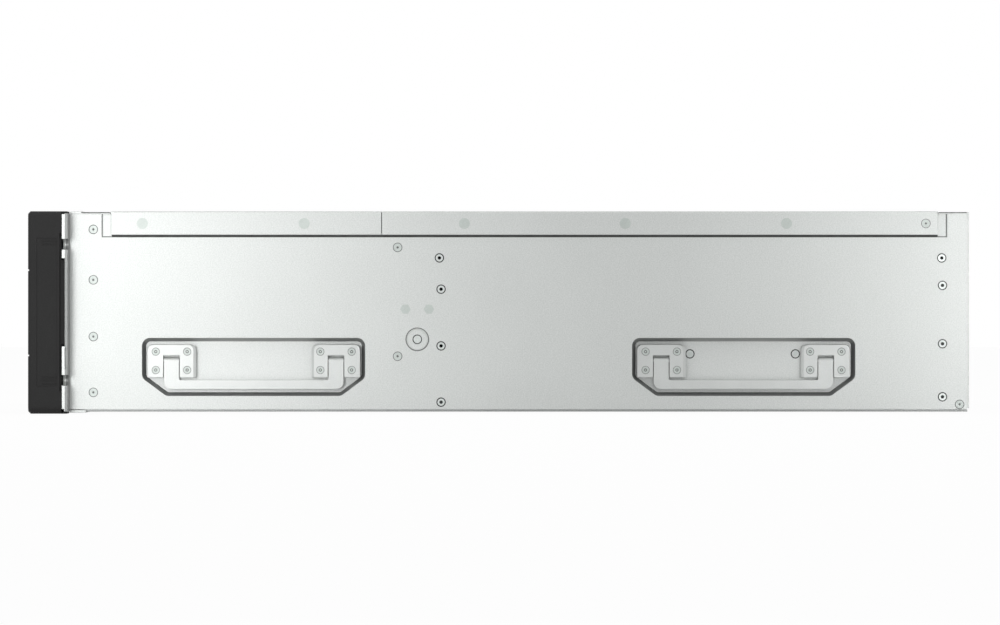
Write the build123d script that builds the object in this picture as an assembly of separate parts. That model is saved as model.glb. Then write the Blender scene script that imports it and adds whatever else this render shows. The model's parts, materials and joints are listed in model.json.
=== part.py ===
from build123d import *
import math
import os

# A 3-unit rack storage server: sixteen drive trays, lift handles in the sides, lift-off cover.
# X is to the right seen from the front, Y runs to the rear, Z is up. Millimetres.
# Depths are distances from the front face. y_at() turns one into Y, centred on the whole depth.

# Sheet metal and running gaps
sheet = 1.2
slide_gap = 0.3
seat_gap = 0.3
pin_gap = 0.08
pin_sides = 6

# Drives and their trays
drive_width = 101.6
drive_height = 26.1
drive_length = 147.0
drive_side_gap = 0.125
drive_corner = 5.0
drive_lid = 1.0
drive_rim = 4.0
columns = 4
rows = 4
rail_thickness = 1.2
rail_height = 22.0
carrier_floor = 1.0
rail_tail = 1.5
head_room = 2.6
divider = 1.0
face_gap = 0.8
bezel_depth = 16.9
drive_setback = 15.8
window_width = 39.0
window_height = 21.0
window_post = 5.0
lamp_block_width = 7.2
lamp_block_inset = 1.0

# Tray lever
lever_thickness = 4.5
lever_knuckle = 2.35
lever_stub = 1.5
lever_stub_length = 3.0
lever_ear = 2.6
lever_pin_inset = 3.6
lever_slot_height = 3.0
lever_slot_pitch = 7.0
lever_slot_margin = 12.0
lever_slots = 2
lever_tip_cut = 1.0
finger_notch = 6.0

# Heights, from the surface the unit stands on
pan_bottom = 1.2
frame_bottom = 0.5
cover_space = 4.1
deck_drop = 0.7
cap_drop = 0.3
ear_plate_drop = 1.7
ear_plate_foot = 1.4

# Front end, from the front face to the rear
cap_depth = 21.75
cap_seat_gap = 0.35
ear_hem = 1.9
ear_plate = 2.0
frame_plate = 2.0
frame_flange = 6.0
frame_lip = 8.8
frame_opening_gap = 0.4
deck_end = 52.9
ear_reach = 18.3
ear_leg_length = 19.0
ear_leg = 2.0
ear_relief = 0.4
ear_inner_gap = 0.6
low_pad_foot = 1.8
low_pad_top = 1.2
high_pad_foot = 1.0
high_pad_top = 0.5
rack_slot_height = 6.9
rack_slot_edge = 8.75
rack_slot_spacing = 88.9
screw_access_radius = 5.8
screw_access_sides = 8
latch_notch_height = 13.4
latch_notch_depth = 2.0
latch_notch_centre = 36.2

# Moulded end caps
cap_inner_gap = 1.1
cap_top_round = 3.7
cap_bottom_round = 4.9
cap_front_round = 1.5
cap_groove_width = 1.0
cap_groove_depth = 0.7
cap_groove_low = 38.1
cap_groove_high = 93.9
grip_recess = 0.4
grip_low = 18.0
grip_high = 115.0
grip_front = 5.7
grip_rear = 19.0
finger_slot_width = 1.1
finger_slot_depth = 2.5
finger_slot_low = 14.5
finger_slot_high = 118.3
tongue_low = 45.3
tongue_high = 100.6
tongue_inset = 1.0
lip_length = 3.5
lip_inset = 2.0
lip_gap = 0.1
button_radius = 5.0
button_height = 66.2
button_travel = 1.5
button_length = 8.1
button_set_back = 0.9
button_stop_gap = 0.6

# Cage, backplane and fans
cage_gap = 0.3
connector_depth = 8.0
connector_width = 42.0
connector_height = 6.0
drive_plug_gap = 0.5
connector_lift = 3.0
backplane_board = 2.0
backplane_slot_height = 9.0
backplane_slot_width = 84.0
cable_space = 42.0
fan_size = 92.0
fan_depth = 25.4
fan_spacing = 140.0
fan_count = 3
fan_bore = 45.2
fan_bore_sides = 24
fan_centre_height = 62.0
fan_blade_radius = 43.2
fan_hub_radius = 19.0
fan_hub_sides = 16
fan_hub_length = 17.0
fan_blades = 7
fan_blade_tip_chord = 22.0
fan_blade_root_chord = 15.0
fan_blade_pitch = 38.0
fan_blade_root = 2.0
fan_blade_thickness = 1.6
fan_front_gap = 2.0
fan_axle_gap = 2.0
fan_hub_chamfer = 2.0
fan_arm_width = 4.0
fan_arm_depth = 3.0
fan_axle_radius = 2.0
fan_corner = 5.0
wall_flange = 22.0
air_space = 102.4

# Board, supplies and rear
board_width = 304.8
board_depth = 243.84
board_thickness = 1.6
board_standoff = 6.3
board_tray_height = 29.0
board_inset = 3.0
board_rear_gap = 1.06
board_tray_front = 10.0
board_tray_rear = 2.0
standoff_radius = 3.0
standoff_inset = 10.0
heatsink_size = 74.0
heatsink_base = 6.0
heatsink_height = 46.0
heatsink_fins = 9
heatsink_fin = 1.6
heatsink_from_right = 140.0
heatsink_from_front = 70.0
memory_sticks = 4
memory_length = 133.35
memory_height = 31.25
memory_thickness = 5.0
memory_pitch = 9.0
memory_from_right = 47.0
memory_from_front = 40.0
card_slot_length = 90.0
card_slot_width = 7.5
card_slot_height = 11.0
card_slot_from_rear = 30.0
supply_width = 73.5
supply_height = 40.0
supply_length = 185.0
supply_recess = 15.0
supply_handle = 14.0
supply_grip_width = 26.0
supply_grip_inset = 6.0
supply_grip_bar = 4.0
supply_board_gap = 4.0
inlet_width = 24.0
inlet_height = 16.5
inlet_depth = 16.0
inlet_inset = 8.0
rear_plate = 1.2
rear_plate_inset = 0.8
rear_plate_foot = 1.0
shield_plate = 0.7
shield_width = 158.75
shield_height = 44.45
shield_offset = 9.0
shield_bottom = 34.7
shield_lap = 2.0
slot_count = 4
slot_pitch = 20.32
slot_width = 14.0
slot_height = 76.0
slot_gap = 12.0
slot_cover_plate = 0.9
slot_cover_lap = 2.0
vent_count = 12
vent_width = 7.0
vent_height = 26.0
vent_pitch = 12.6
vent_lift = 8.0
port_depth = 22.0
port_wall = 1.5
port_cavity = 12.0
port_proud = 0.3
rear_deck = 19.3
knob_radius = 2.95
knob_height = 82.25
knob_proud = 1.3
knob_gap = 5.0
lug_low = 26.3
lug_high = 32.5
lug_proud = 1.4
lug_width = 12.0
lug_inset = 8.0

# Side panels
pocket_depth = 9.3
pocket_end_gap = 3.2
pocket_top_gap = 4.3
pocket_height = 38.2
pocket_bottom = 11.4
pocket_draft = 14.5
pocket_cut_along = 14.3
pocket_cut_up = 10.6
pocket_round = 2.9
pocket_inset = 146.7
panel_foot = 0.3
panel_flange = 9.0
recess_front = 47.0
recess_rear_margin = 13.2
recess_step = 1.5
recess_below_skirt = 1.7
cover_front = 53.2
cover_seam = 230.7
seam_gap = 0.4
skirt_height = 15.5
cover_bend = 1.0
insert_hole = 1.25
insert_from_rear = 16.8
insert_behind_wall = 27.6
insert_row = 102.0
insert_column = 1.1
insert_high = 81.5
insert_low = 44.3

# Lift handles
bracket_length = 32.1
bracket_height = 21.6
bracket_thickness = 6.3
bracket_round = 3.6
handle_notch_gap = 0.5
handle_notch_top = 3.6
handle_length = 117.9
handle_arm = 9.9
handle_bar = 6.0
handle_thickness = 4.7
handle_drop = 18.7
handle_outer_round = 4.9
handle_inner_round = 1.3
handle_floor_gap = 0.95
handle_pin_radius = 1.2
handle_pin_seat = 4.0

# Panel screws
screw_head_radius = 2.95
screw_head_foot = 1.75
screw_gap = 0.1
screw_sides = 8
screw_behind_frame = 7.6
front_screw_heights = [13.8, 50.4, 87.6, 120.7]
wall_screw_heights = [37.5, 108.9]
wall_screw_lap = 0.2
rear_screw_inset = 5.1
rear_screw_height = 5.9

# Worked out: widths
bay_width = drive_width + 2 * (drive_side_gap + rail_thickness + slide_gap)
column_pitch = bay_width + divider
cage_half = (columns * bay_width + (columns + 1) * divider) / 2
pocket_floor = cage_half + cage_gap + sheet
body_half = pocket_floor + pocket_depth
inner_half = body_half - sheet
rack_half = body_half + ear_reach
cap_inner = cage_half - divider + cap_inner_gap
cap_middle = (cap_inner + rack_half) / 2
ear_inner = cap_inner + ear_inner_gap
slot_end = rack_half - rack_slot_edge

# Worked out: heights
pan_top = pan_bottom + sheet
cage_floor = pan_top + divider
row_pitch = slide_gap + carrier_floor + drive_height + head_room + divider
cage_top = cage_floor + rows * row_pitch
cover_inside = cage_top + cover_space
cover_top = cover_inside + sheet
deck_top = cover_top - deck_drop
deck_bottom = deck_top - sheet
cap_top = cover_top - cap_drop
skirt_bottom = cover_top - skirt_height
recess_bottom = skirt_bottom - recess_below_skirt
ear_plate_top = cover_top - ear_plate_drop
slot_heights = [cover_top / 2 - rack_slot_spacing / 2, cover_top / 2 + rack_slot_spacing / 2]
pocket_top = pocket_bottom + pocket_height
bracket_top = pocket_top - pocket_top_gap

# Worked out: depths
ear_front = cap_depth + cap_seat_gap + ear_hem
ear_back = ear_front + ear_plate
frame_back = ear_back + frame_plate
lip_rear = frame_back + frame_lip
cage_front = frame_back + seat_gap
bezel_back = ear_back - seat_gap
bezel_front = bezel_back - bezel_depth
lever_back = bezel_front - seat_gap
lever_front = lever_back - lever_thickness
lever_pin_depth = lever_front + lever_knuckle
drive_front = bezel_back + drive_setback
drive_rear = drive_front + drive_length
rail_rear = drive_rear + rail_tail
backplane_front = drive_rear + drive_plug_gap + connector_depth
backplane_rear = backplane_front + backplane_board
wall_front = backplane_rear + cable_space
fan_front = wall_front + sheet
fan_rear = fan_front + fan_depth
board_front = fan_rear + air_space
board_rear = board_front + board_depth
panel_rear = board_rear + board_rear_gap
plate_rear = panel_rear + rear_plate
shield_rear = plate_rear + shield_plate
overall_depth = plate_rear + lug_proud
recess_rear = panel_rear - recess_rear_margin
cover_rear = panel_rear - rear_deck
supply_rear = plate_rear - supply_recess
supply_front = supply_rear - supply_length
insert_front = wall_front + insert_behind_wall
insert_rear = panel_rear - insert_from_rear

# Worked out: board, supplies and shield
tray_top = board_tray_height + sheet
board_bottom = tray_top + board_standoff
board_top = board_bottom + board_thickness
board_right = cage_half - board_inset
board_left = board_right - board_width
shield_right = cage_half - shield_offset
shield_left = shield_right - shield_width
shield_top = shield_bottom + shield_height
supply_left = -(cage_half - divider) + seat_gap
supply_right = supply_left + supply_width
supply_floors = [cage_floor + seat_gap, cage_floor + 2 * seat_gap + supply_height + divider]
supply_bay_top = supply_floors[1] + supply_height + seat_gap
inlet_left = supply_left + inlet_inset
grip_left = supply_right - supply_grip_inset - supply_grip_width

# Worked out: handles and their pockets
arm_offset = (handle_length - handle_arm) / 2
pocket_width = 2 * arm_offset + bracket_length + 2 * pocket_end_gap
pocket_centres = {"front": pocket_inset, "rear": panel_rear - pocket_inset}
handle_pin_height = bracket_top - bracket_height / 2
handle_pin_x = pocket_floor + handle_floor_gap + handle_thickness / 2

# Sockets in the rear shield: distance from its right end, width, height, how many are stacked
ports = [
    (6.0, 15.0, 16.0, 2),
    (25.0, 17.0, 29.0, 2),
    (46.0, 17.0, 29.0, 2),
    (68.0, 17.0, 14.5, 1),
    (92.0, 31.0, 12.5, 1),
]


def y_at(depth):
    return depth - overall_depth / 2


def block(x0, x1, depth0, depth1, z0, z1):
    corner = Pos(x0, y_at(depth0), z0)
    return corner * Box(x1 - x0, depth1 - depth0, z1 - z0, align=(Align.MIN, Align.MIN, Align.MIN))


def side_plane(x):
    # Local x runs to the rear and local y up, seen from the right
    return Plane(origin=(x, 0, 0), x_dir=(0, 1, 0), z_dir=(1, 0, 0))


def front_plane(depth):
    # Local x runs right and local y up, seen from the front
    return Plane(origin=(0, y_at(depth), 0), x_dir=(1, 0, 0), z_dir=(0, -1, 0))


def rod_y(radius, x, z, depth0, depth1):
    disc = front_plane(depth1) * Pos(x, z) * Circle(radius)
    return extrude(disc, amount=depth1 - depth0)


def rod_x(radius, x0, x1, depth, z):
    disc = side_plane(x0) * Pos(y_at(depth), z) * Circle(radius)
    return extrude(disc, amount=x1 - x0)


def round_face(radius):
    # A small pin's section, drawn with flats
    return RegularPolygon(radius, pin_sides)


def round_hole_face(radius):
    # A small bore's section, whose flats clear a pin of that radius at any turn
    return RegularPolygon((radius + pin_gap) / math.cos(math.pi / pin_sides), pin_sides)


def all_solids(*shapes):
    found = []
    for shape in shapes:
        found.extend(shape.solids())
    return found


def write(name, *shapes):
    os.makedirs("parts", exist_ok=True)
    export_step(Compound(children=all_solids(*shapes)), f"parts/{name}.step")


def both_sides(shape):
    return [shape, mirror(shape, about=Plane.YZ)]


# Side panels

def pocket_outline(centre, wall):
    # Floor of a handle pocket, or of the pan's outside: square at the top, cut corners at the bottom
    inset = pocket_depth * math.tan(math.radians(pocket_draft)) - wall
    half = pocket_width / 2 - inset
    bottom = pocket_bottom + inset
    top = pocket_top - inset
    outline = Polyline(
        (-half, top),
        (-half, bottom + pocket_cut_up),
        (-half + pocket_cut_along, bottom),
        (half - pocket_cut_along, bottom),
        (half, bottom + pocket_cut_up),
        (half, top),
        close=True,
    )
    return Pos(y_at(centre), 0) * make_face(outline)


def pocket_cavity(centre):
    floor = pocket_outline(centre, 0)
    floor = fillet(floor.vertices(), pocket_round)
    return extrude(side_plane(pocket_floor) * floor, amount=pocket_depth, taper=-pocket_draft)


def pocket_pan(centre):
    floor = side_plane(pocket_floor - sheet) * pocket_outline(centre, sheet)
    return extrude(floor, amount=pocket_depth, taper=-pocket_draft)


def flat_screws():
    # Depth and height of each countersunk screw in a side panel
    front_column = frame_back + frame_flange + screw_behind_frame
    places = [(front_column, height) for height in front_screw_heights]
    places += [(wall_front + wall_screw_lap, height) for height in wall_screw_heights]
    places += [(panel_rear - rear_screw_inset, rear_screw_height)]
    return places


def screw_head(depth, height, gap):
    # Countersunk head, flush with the panel and as deep as it
    at = Pos(y_at(depth), height)
    foot = side_plane(inner_half) * at * RegularPolygon(screw_head_foot + gap, screw_sides)
    face = side_plane(body_half) * at * RegularPolygon(screw_head_radius + gap, screw_sides)
    return loft([foot, face], ruled=True)


def insert_holes():
    # Threaded inserts that take the rack's slide rails
    return [
        (insert_front, insert_row),
        (insert_rear, insert_row),
        (insert_front + insert_column, insert_high),
        (insert_front + insert_column, insert_low),
    ]


def side_panel():
    skin = block(inner_half, body_half, ear_back, panel_rear, pan_top + panel_foot, deck_bottom)
    strip_front = recess_front - sheet
    strip_rear = recess_rear + sheet
    strip_inside = body_half - recess_step - sheet
    strip = block(strip_inside, body_half, strip_front, strip_rear, recess_bottom - sheet, deck_bottom)
    recess = block(
        body_half - recess_step, body_half + sheet, recess_front, recess_rear, recess_bottom, cover_top
    )
    flange = block(
        inner_half - panel_flange, inner_half + sheet / 2,
        lip_rear, panel_rear - sheet, pan_top, pan_top + sheet,
    )
    panel = skin + strip - recess + flange
    for centre in pocket_centres.values():
        panel += pocket_pan(centre)
    for centre in pocket_centres.values():
        panel -= pocket_cavity(centre)
    for depth, height in insert_holes():
        panel -= rod_x(insert_hole, inner_half - sheet, body_half + sheet, depth, height)
    for depth, height in flat_screws():
        panel -= screw_head(depth, height, screw_gap)
    return panel


def panel_screws():
    screws = []
    for depth, height in flat_screws():
        screws.extend(both_sides(screw_head(depth, height, 0)))
    return screws


# Lift handles

def side_rod(face, half_length):
    # A bar along Y through the handle's pin axis
    axis = Plane(origin=(handle_pin_x, -half_length, handle_pin_height), z_dir=(0, 1, 0))
    return extrude(axis * face, amount=2 * half_length)


def handle_bracket():
    # An upside-down U block, centred on its own length, with the notch that the arm swings in
    outline = Pos(0, bracket_top - bracket_height / 2) * Rectangle(bracket_length, bracket_height)
    top_corners = outline.vertices().sort_by(Axis.Y)[-2:]
    plate = extrude(side_plane(pocket_floor) * fillet(top_corners, bracket_round), amount=bracket_thickness)
    notch_width = handle_arm + 2 * handle_notch_gap
    notch_top = handle_pin_height + handle_notch_top
    notch = extrude(
        side_plane(pocket_floor - sheet) * Pos(0, notch_top / 2) * Rectangle(notch_width, notch_top),
        amount=bracket_thickness + 2 * sheet,
    )
    pin_half = notch_width / 2 + handle_pin_seat
    seat = side_rod(round_hole_face(handle_pin_radius), pin_half + pin_gap)
    return [plate - notch - seat, side_rod(round_face(handle_pin_radius), pin_half)]


def bracket_places():
    return [centre + side * arm_offset for centre in pocket_centres.values() for side in (-1, 1)]


def lift_handle():
    # A flat U with round ends about the pins, hanging down, centred on its own length
    plate = Pos(0, handle_pin_height - handle_drop / 2) * Rectangle(handle_length, handle_drop)
    face = fillet(plate.vertices().sort_by(Axis.Y)[:2], handle_outer_round)
    opening_height = handle_drop - handle_bar
    opening_width = handle_length - 2 * handle_arm
    opening = Pos(0, handle_pin_height - opening_height / 2) * Rectangle(opening_width, opening_height)
    face -= fillet(opening.vertices().sort_by(Axis.Y)[:2], handle_inner_round)
    handle = extrude(side_plane(handle_pin_x - handle_thickness / 2) * face, amount=handle_thickness)
    for side in (-1, 1):
        arm_side = side * arm_offset - handle_arm / 2
        axis = Plane(origin=(handle_pin_x, arm_side, handle_pin_height), z_dir=(0, 1, 0))
        handle += extrude(axis * Circle(handle_thickness / 2), amount=handle_arm)
    return handle - side_rod(round_hole_face(handle_pin_radius), handle_length)


# Front end

def ear_bracket():
    # Folded ear: rack flange with open slots, hemmed pads at its front and a leg along the side panel
    hem_front = ear_front - ear_hem
    step = ear_back - ear_relief
    flange = block(ear_inner, rack_half, ear_front, step, ear_plate_foot, ear_plate_top)
    flange += block(body_half + ear_relief, rack_half, ear_front, ear_back, ear_plate_foot, ear_plate_top)
    low_pad = block(
        ear_inner, rack_half, hem_front, ear_front, ear_plate_foot + low_pad_foot, tongue_low - low_pad_top
    )
    high_pad = block(
        ear_inner, rack_half, hem_front, ear_front, tongue_high + high_pad_foot, ear_plate_top - high_pad_top
    )
    leg = block(
        inner_half - ear_leg, inner_half, ear_front, ear_back + ear_leg_length,
        pan_top + 2 * sheet, recess_bottom - 2 * sheet,
    )
    bracket = flange + low_pad + high_pad + leg
    for height in slot_heights:
        bracket -= block(
            slot_end, rack_half + sheet, hem_front - sheet, ear_back + sheet,
            height - rack_slot_height / 2, height + rack_slot_height / 2,
        )
        bracket -= rod_y(rack_slot_height / 2, slot_end, height, hem_front - sheet, ear_back + sheet)
    bracket -= block(
        rack_half - latch_notch_depth, rack_half + sheet, ear_front, ear_back + sheet,
        latch_notch_centre - latch_notch_height / 2, latch_notch_centre + latch_notch_height / 2,
    )
    return bracket


def ear_cap():
    # A moulded grip with rounded outer corners, a shallow grip panel, a finger slot and lips over the ear
    outline = Pos(cap_middle, cap_top / 2) * Rectangle(rack_half - cap_inner, cap_top)
    outer = outline.vertices().sort_by(Axis.X)[-2:].sort_by(Axis.Y)
    face = fillet(outer[:1], cap_bottom_round)
    outer = face.vertices().sort_by(Axis.Y)[-2:].sort_by(Axis.X)
    face = fillet(outer[-1:], cap_top_round)
    cap = extrude(front_plane(cap_depth) * face, amount=cap_depth)
    cap = chamfer(cap.faces().sort_by(Axis.Y)[0].edges(), cap_front_round)
    for height in (cap_groove_low, cap_groove_high):
        cap -= block(
            cap_inner - sheet, rack_half + sheet, -sheet, cap_groove_depth,
            height - cap_groove_width / 2, height + cap_groove_width / 2,
        )
    cap -= block(rack_half - grip_recess, rack_half + sheet, grip_front, grip_rear, grip_low, grip_high)
    cap -= block(
        rack_half - finger_slot_depth, rack_half + sheet, cap_depth - finger_slot_width, cap_depth + sheet,
        finger_slot_low, finger_slot_high,
    )
    cap += block(
        cap_inner + tongue_inset, rack_half - finger_slot_depth, cap_depth - tongue_inset, ear_front,
        tongue_low, tongue_high,
    )
    lip_end = cap_depth + lip_length
    for low, high in ((ear_plate_top + lip_gap, cap_top), (0, ear_plate_foot - lip_gap)):
        cap += block(
            cap_inner + lip_inset, rack_half - cap_bottom_round, cap_depth - lip_inset, lip_end, low, high
        )
    access = RegularPolygon(screw_access_radius, screw_access_sides, rotation=180 / screw_access_sides)
    for height in slot_heights:
        cap -= extrude(front_plane(ear_front) * Pos(slot_end, height) * access, amount=ear_front)
    return cap


def ear_caps():
    plain = ear_cap()
    left = mirror(plain, about=Plane.YZ)
    bore_rear = button_set_back + button_length + button_travel + button_stop_gap
    right = plain - rod_y(button_radius + seat_gap, cap_middle, button_height, -sheet, bore_rear)
    return [left, right]


def power_button():
    return rod_y(button_radius, cap_middle, button_height, button_set_back, button_set_back + button_length)


def front_frame():
    # Picture-frame sheet round the tray fronts, with a deck behind its top edge and a lip before the pan
    outer_half = inner_half - ear_leg - seat_gap
    opening_half = cage_half + frame_opening_gap
    frame = block(-outer_half, outer_half, ear_back, frame_back, frame_bottom, cover_top)
    frame += block(-body_half, body_half, ear_back, frame_back, deck_top - sheet, cover_top)
    frame += block(-body_half, body_half, ear_back, lip_rear, frame_bottom, pan_top)
    frame -= block(
        -opening_half, opening_half, ear_back - sheet, frame_back,
        cage_floor - frame_opening_gap, cage_top + frame_opening_gap,
    )
    flange_rear = frame_back + frame_flange
    frame += block(-body_half, body_half, ear_back, flange_rear, cover_inside, cover_top)
    frame += block(-body_half, body_half, frame_back, deck_end, deck_bottom, deck_top)
    return frame


# Drive trays

def tray_middle(column, row):
    # Centre across and bottom of a tray's cell
    across = (column - (columns - 1) / 2) * column_pitch
    return across, cage_floor - divider / 2 + row * row_pitch


def tray_bezel():
    # Moulded front with two air windows, hinge ears at the left and a lamp block at the right
    half = (column_pitch - face_gap) / 2
    low = face_gap / 2
    high = row_pitch - face_gap / 2
    body = block(-half, half, bezel_front, bezel_back, low, high)
    middle = (low + high) / 2
    for side in (-1, 1):
        centre = side * (window_width + window_post) / 2
        body -= block(
            centre - window_width / 2, centre + window_width / 2, bezel_front - sheet, bezel_back + sheet,
            middle - window_height / 2, middle + window_height / 2,
        )
    lamp = block(
        half - lamp_block_width, half, lever_front, bezel_front,
        low + lamp_block_inset, high - lamp_block_inset,
    )
    body += lamp
    pin_x = -half + lever_pin_inset
    ear_plan = Polyline(
        (pin_x - lever_knuckle, y_at(bezel_front)),
        (pin_x - lever_knuckle, y_at(lever_pin_depth)),
        (pin_x - lever_knuckle / 2, y_at(lever_front)),
        (pin_x + lever_knuckle, y_at(lever_front)),
        (pin_x + lever_knuckle, y_at(bezel_front)),
        close=True,
    )
    stub = Pos(pin_x, y_at(lever_pin_depth)) * round_face(lever_stub)
    low_ear = low + face_gap
    high_ear = high - face_gap - lever_ear
    for foot in (low_ear, high_ear):
        body += Pos(0, 0, foot) * extrude(make_face(ear_plan), amount=lever_ear)
    for foot in (low_ear + lever_ear, high_ear - lever_stub_length):
        body += Pos(0, 0, foot) * extrude(stub, amount=lever_stub_length)
    return body


def tray_carrier():
    # Folded sheet: a floor between two side rails
    half = bay_width / 2 - slide_gap
    foot = divider / 2 + slide_gap
    carrier = block(-half, half, bezel_back, rail_rear, foot, foot + rail_height)
    inner = half - rail_thickness
    return carrier - block(
        -inner, inner, bezel_back - sheet, rail_rear + sheet, foot + carrier_floor, foot + rail_height + sheet
    )


def tray_drive():
    # Cast base with cut corners under a smaller raised lid
    half = drive_width / 2
    foot = divider / 2 + slide_gap + carrier_floor
    top = foot + drive_height
    base = block(-half, half, drive_front, drive_rear, foot, top - drive_lid)
    base = chamfer(base.edges().filter_by(Axis.Z), drive_corner / 2)
    lid = block(
        -half + drive_rim, half - drive_rim, drive_front + drive_rim, drive_rear - 3 * drive_rim,
        top - drive_lid, top,
    )
    return base + lid


def tray_lever():
    # Slotted flap that turns about the stubs at its left end
    half = (column_pitch - face_gap) / 2
    pin_x = -half + lever_pin_inset
    low = face_gap * 1.5 + lever_ear + seat_gap
    high = row_pitch - face_gap * 1.5 - lever_ear - seat_gap
    end = half - lamp_block_width - face_gap
    pin_y = y_at(lever_pin_depth)
    front_y = y_at(lever_front)
    back_y = y_at(lever_back)
    outline = Polyline(
        (pin_x, front_y),
        (end - lever_tip_cut, front_y),
        (end, front_y + lever_tip_cut),
        (end, back_y - lever_tip_cut),
        (end - finger_notch, back_y),
        (pin_x - lever_knuckle / 2, back_y),
        (pin_x - lever_knuckle, pin_y),
    )
    knuckle = CenterArc((pin_x, pin_y), lever_knuckle, 180, 90)
    lever = Pos(0, 0, low) * extrude(make_face(outline.edges() + knuckle.edges()), amount=high - low)
    middle = (low + high) / 2
    for index in range(lever_slots):
        height = middle + (index - (lever_slots - 1) / 2) * lever_slot_pitch
        lever -= block(
            pin_x + lever_slot_margin, end - lever_slot_margin, lever_front - sheet, lever_back + sheet,
            height - lever_slot_height / 2, height + lever_slot_height / 2,
        )
    bore = Pos(pin_x, pin_y) * round_hole_face(lever_stub)
    reach = lever_stub_length
    for foot in (low, high - reach):
        lever -= Pos(0, 0, foot) * extrude(bore, amount=reach)
    return lever


# Cage and backplane

def drive_cage():
    # Egg-crate of upright dividers and level shelves
    plates = []
    for index in range(columns + 1):
        left = -cage_half + index * column_pitch
        inner = 0 < index < columns
        low = cage_floor if inner else pan_top
        high = cage_top - divider if inner else cage_top
        plates.append(block(left, left + divider, cage_front, backplane_front, low, high))
    inside = cage_half - divider
    plates.append(block(-inside, inside, cage_front, backplane_front, pan_top, cage_floor))
    plates.append(block(-inside, inside, cage_front, backplane_front, cage_top - divider, cage_top))
    for column in range(columns):
        left = -cage_half + divider + column * column_pitch
        for row in range(1, rows):
            top = cage_floor + row * row_pitch
            plates.append(block(left, left + bay_width, cage_front, backplane_front, top - divider, top))
    return plates


def backplane():
    # Board with a connector block for each drive and an air slot between the rows
    edge = cage_half - divider
    board = block(-edge, edge, backplane_front, backplane_rear, pan_top + 2 * divider, cage_top - divider)
    for row in range(rows):
        base = cage_floor + row * row_pitch
        slot_low = base + row_pitch - backplane_slot_height - 2 * divider
        foot = base + slide_gap + carrier_floor + connector_lift
        for column in range(columns):
            across = tray_middle(column, row)[0]
            if row < rows - 1:
                board -= block(
                    across - backplane_slot_width / 2, across + backplane_slot_width / 2,
                    backplane_front - sheet, backplane_rear + sheet,
                    slot_low, slot_low + backplane_slot_height,
                )
            board += block(
                across - connector_width / 2, across + connector_width / 2,
                backplane_front - connector_depth, backplane_front, foot, foot + connector_height,
            )
    return board


# Fans

def fan_places():
    return [(index - (fan_count - 1) / 2) * fan_spacing for index in range(fan_count)]


def fan_wall():
    # Bulkhead across the chassis with a round hole for each fan and a flange along each side
    shoulder = recess_bottom - 2 * sheet
    narrow = body_half - recess_step - 2 * sheet - seat_gap
    flange_rear = fan_front + wall_flange
    wall = block(-inner_half, inner_half, wall_front, fan_front, pan_top, shoulder)
    wall += block(-narrow, narrow, wall_front, fan_front, shoulder, deck_bottom)
    wall += block(-narrow, narrow, wall_front, flange_rear, deck_bottom - sheet, deck_bottom)
    side_flange = block(
        inner_half - sheet, inner_half, wall_front, flange_rear, pan_top + 2 * sheet, shoulder
    )
    clear = inner_half - panel_flange - seat_gap
    corner = block(
        clear, inner_half + sheet, wall_front - sheet, fan_front + sheet,
        pan_top - sheet, pan_top + sheet + seat_gap,
    )
    for side in both_sides(side_flange):
        wall += side
    for side in both_sides(corner):
        wall -= side
    duct = RegularPolygon(fan_bore, fan_bore_sides)
    for across in fan_places():
        wall -= extrude(front_plane(fan_front) * Pos(across, fan_centre_height) * duct, amount=sheet)
    return wall


def fan_frame(across):
    # Square housing with a round duct, four arms and the motor seat at its rear
    square = chamfer(Rectangle(fan_size, fan_size).vertices(), fan_corner)
    duct = square - RegularPolygon(fan_bore, fan_bore_sides)
    arm_length = 2 * fan_bore + seat_gap
    arms = RegularPolygon(fan_hub_radius, fan_hub_sides)
    for angle in (45, 135):
        arms += Rot(0, 0, angle) * Rectangle(arm_length, fan_arm_width)
    middle = Pos(across, fan_centre_height)
    frame = extrude(front_plane(fan_rear) * middle * duct, amount=fan_depth)
    frame += extrude(front_plane(fan_rear) * middle * arms, amount=fan_arm_depth)
    axle_length = fan_depth - fan_arm_depth - fan_front_gap - fan_axle_gap
    axle_rear = front_plane(fan_rear - fan_arm_depth)
    return frame + extrude(axle_rear * middle * round_face(fan_axle_radius), amount=axle_length)


def fan_blade():
    # Flat blade, wider towards its tip and pitched about its own length, along local X
    lean = math.radians(fan_blade_pitch)
    half_swept = fan_blade_tip_chord * math.cos(lean) / 2 + fan_blade_thickness
    tip = math.sqrt(fan_blade_radius**2 - half_swept**2)
    root = fan_hub_radius - fan_blade_root
    outline = Polyline(
        (root, -fan_blade_root_chord / 2),
        (tip, -fan_blade_tip_chord / 2),
        (tip, fan_blade_tip_chord / 2),
        (root, fan_blade_root_chord / 2),
        close=True,
    )
    blade = extrude(make_face(outline), amount=fan_blade_thickness / 2, both=True)
    return Rot(fan_blade_pitch, 0, 0) * blade


def fan_rotor(across):
    hub = Plane.XY.offset(-fan_hub_length / 2) * RegularPolygon(fan_hub_radius, fan_hub_sides)
    rotor = extrude(hub, amount=fan_hub_length)
    rotor = chamfer(rotor.faces().sort_by(Axis.Z)[-1].edges(), fan_hub_chamfer)
    blade = fan_blade()
    for index in range(fan_blades):
        rotor += Rot(0, 0, index * 360 / fan_blades) * blade
    bore = Plane.XY.offset(-fan_hub_length / 2) * Circle(fan_axle_radius + pin_gap)
    rotor -= extrude(bore, amount=fan_hub_length - fan_front_gap)
    middle = fan_front + fan_front_gap + fan_hub_length / 2
    return Pos(across, y_at(middle), fan_centre_height) * Rot(90, 0, 0) * rotor


# Base, covers and rear

def bottom_pan():
    return block(-body_half, body_half, lip_rear, panel_rear, pan_bottom, pan_top)


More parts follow.
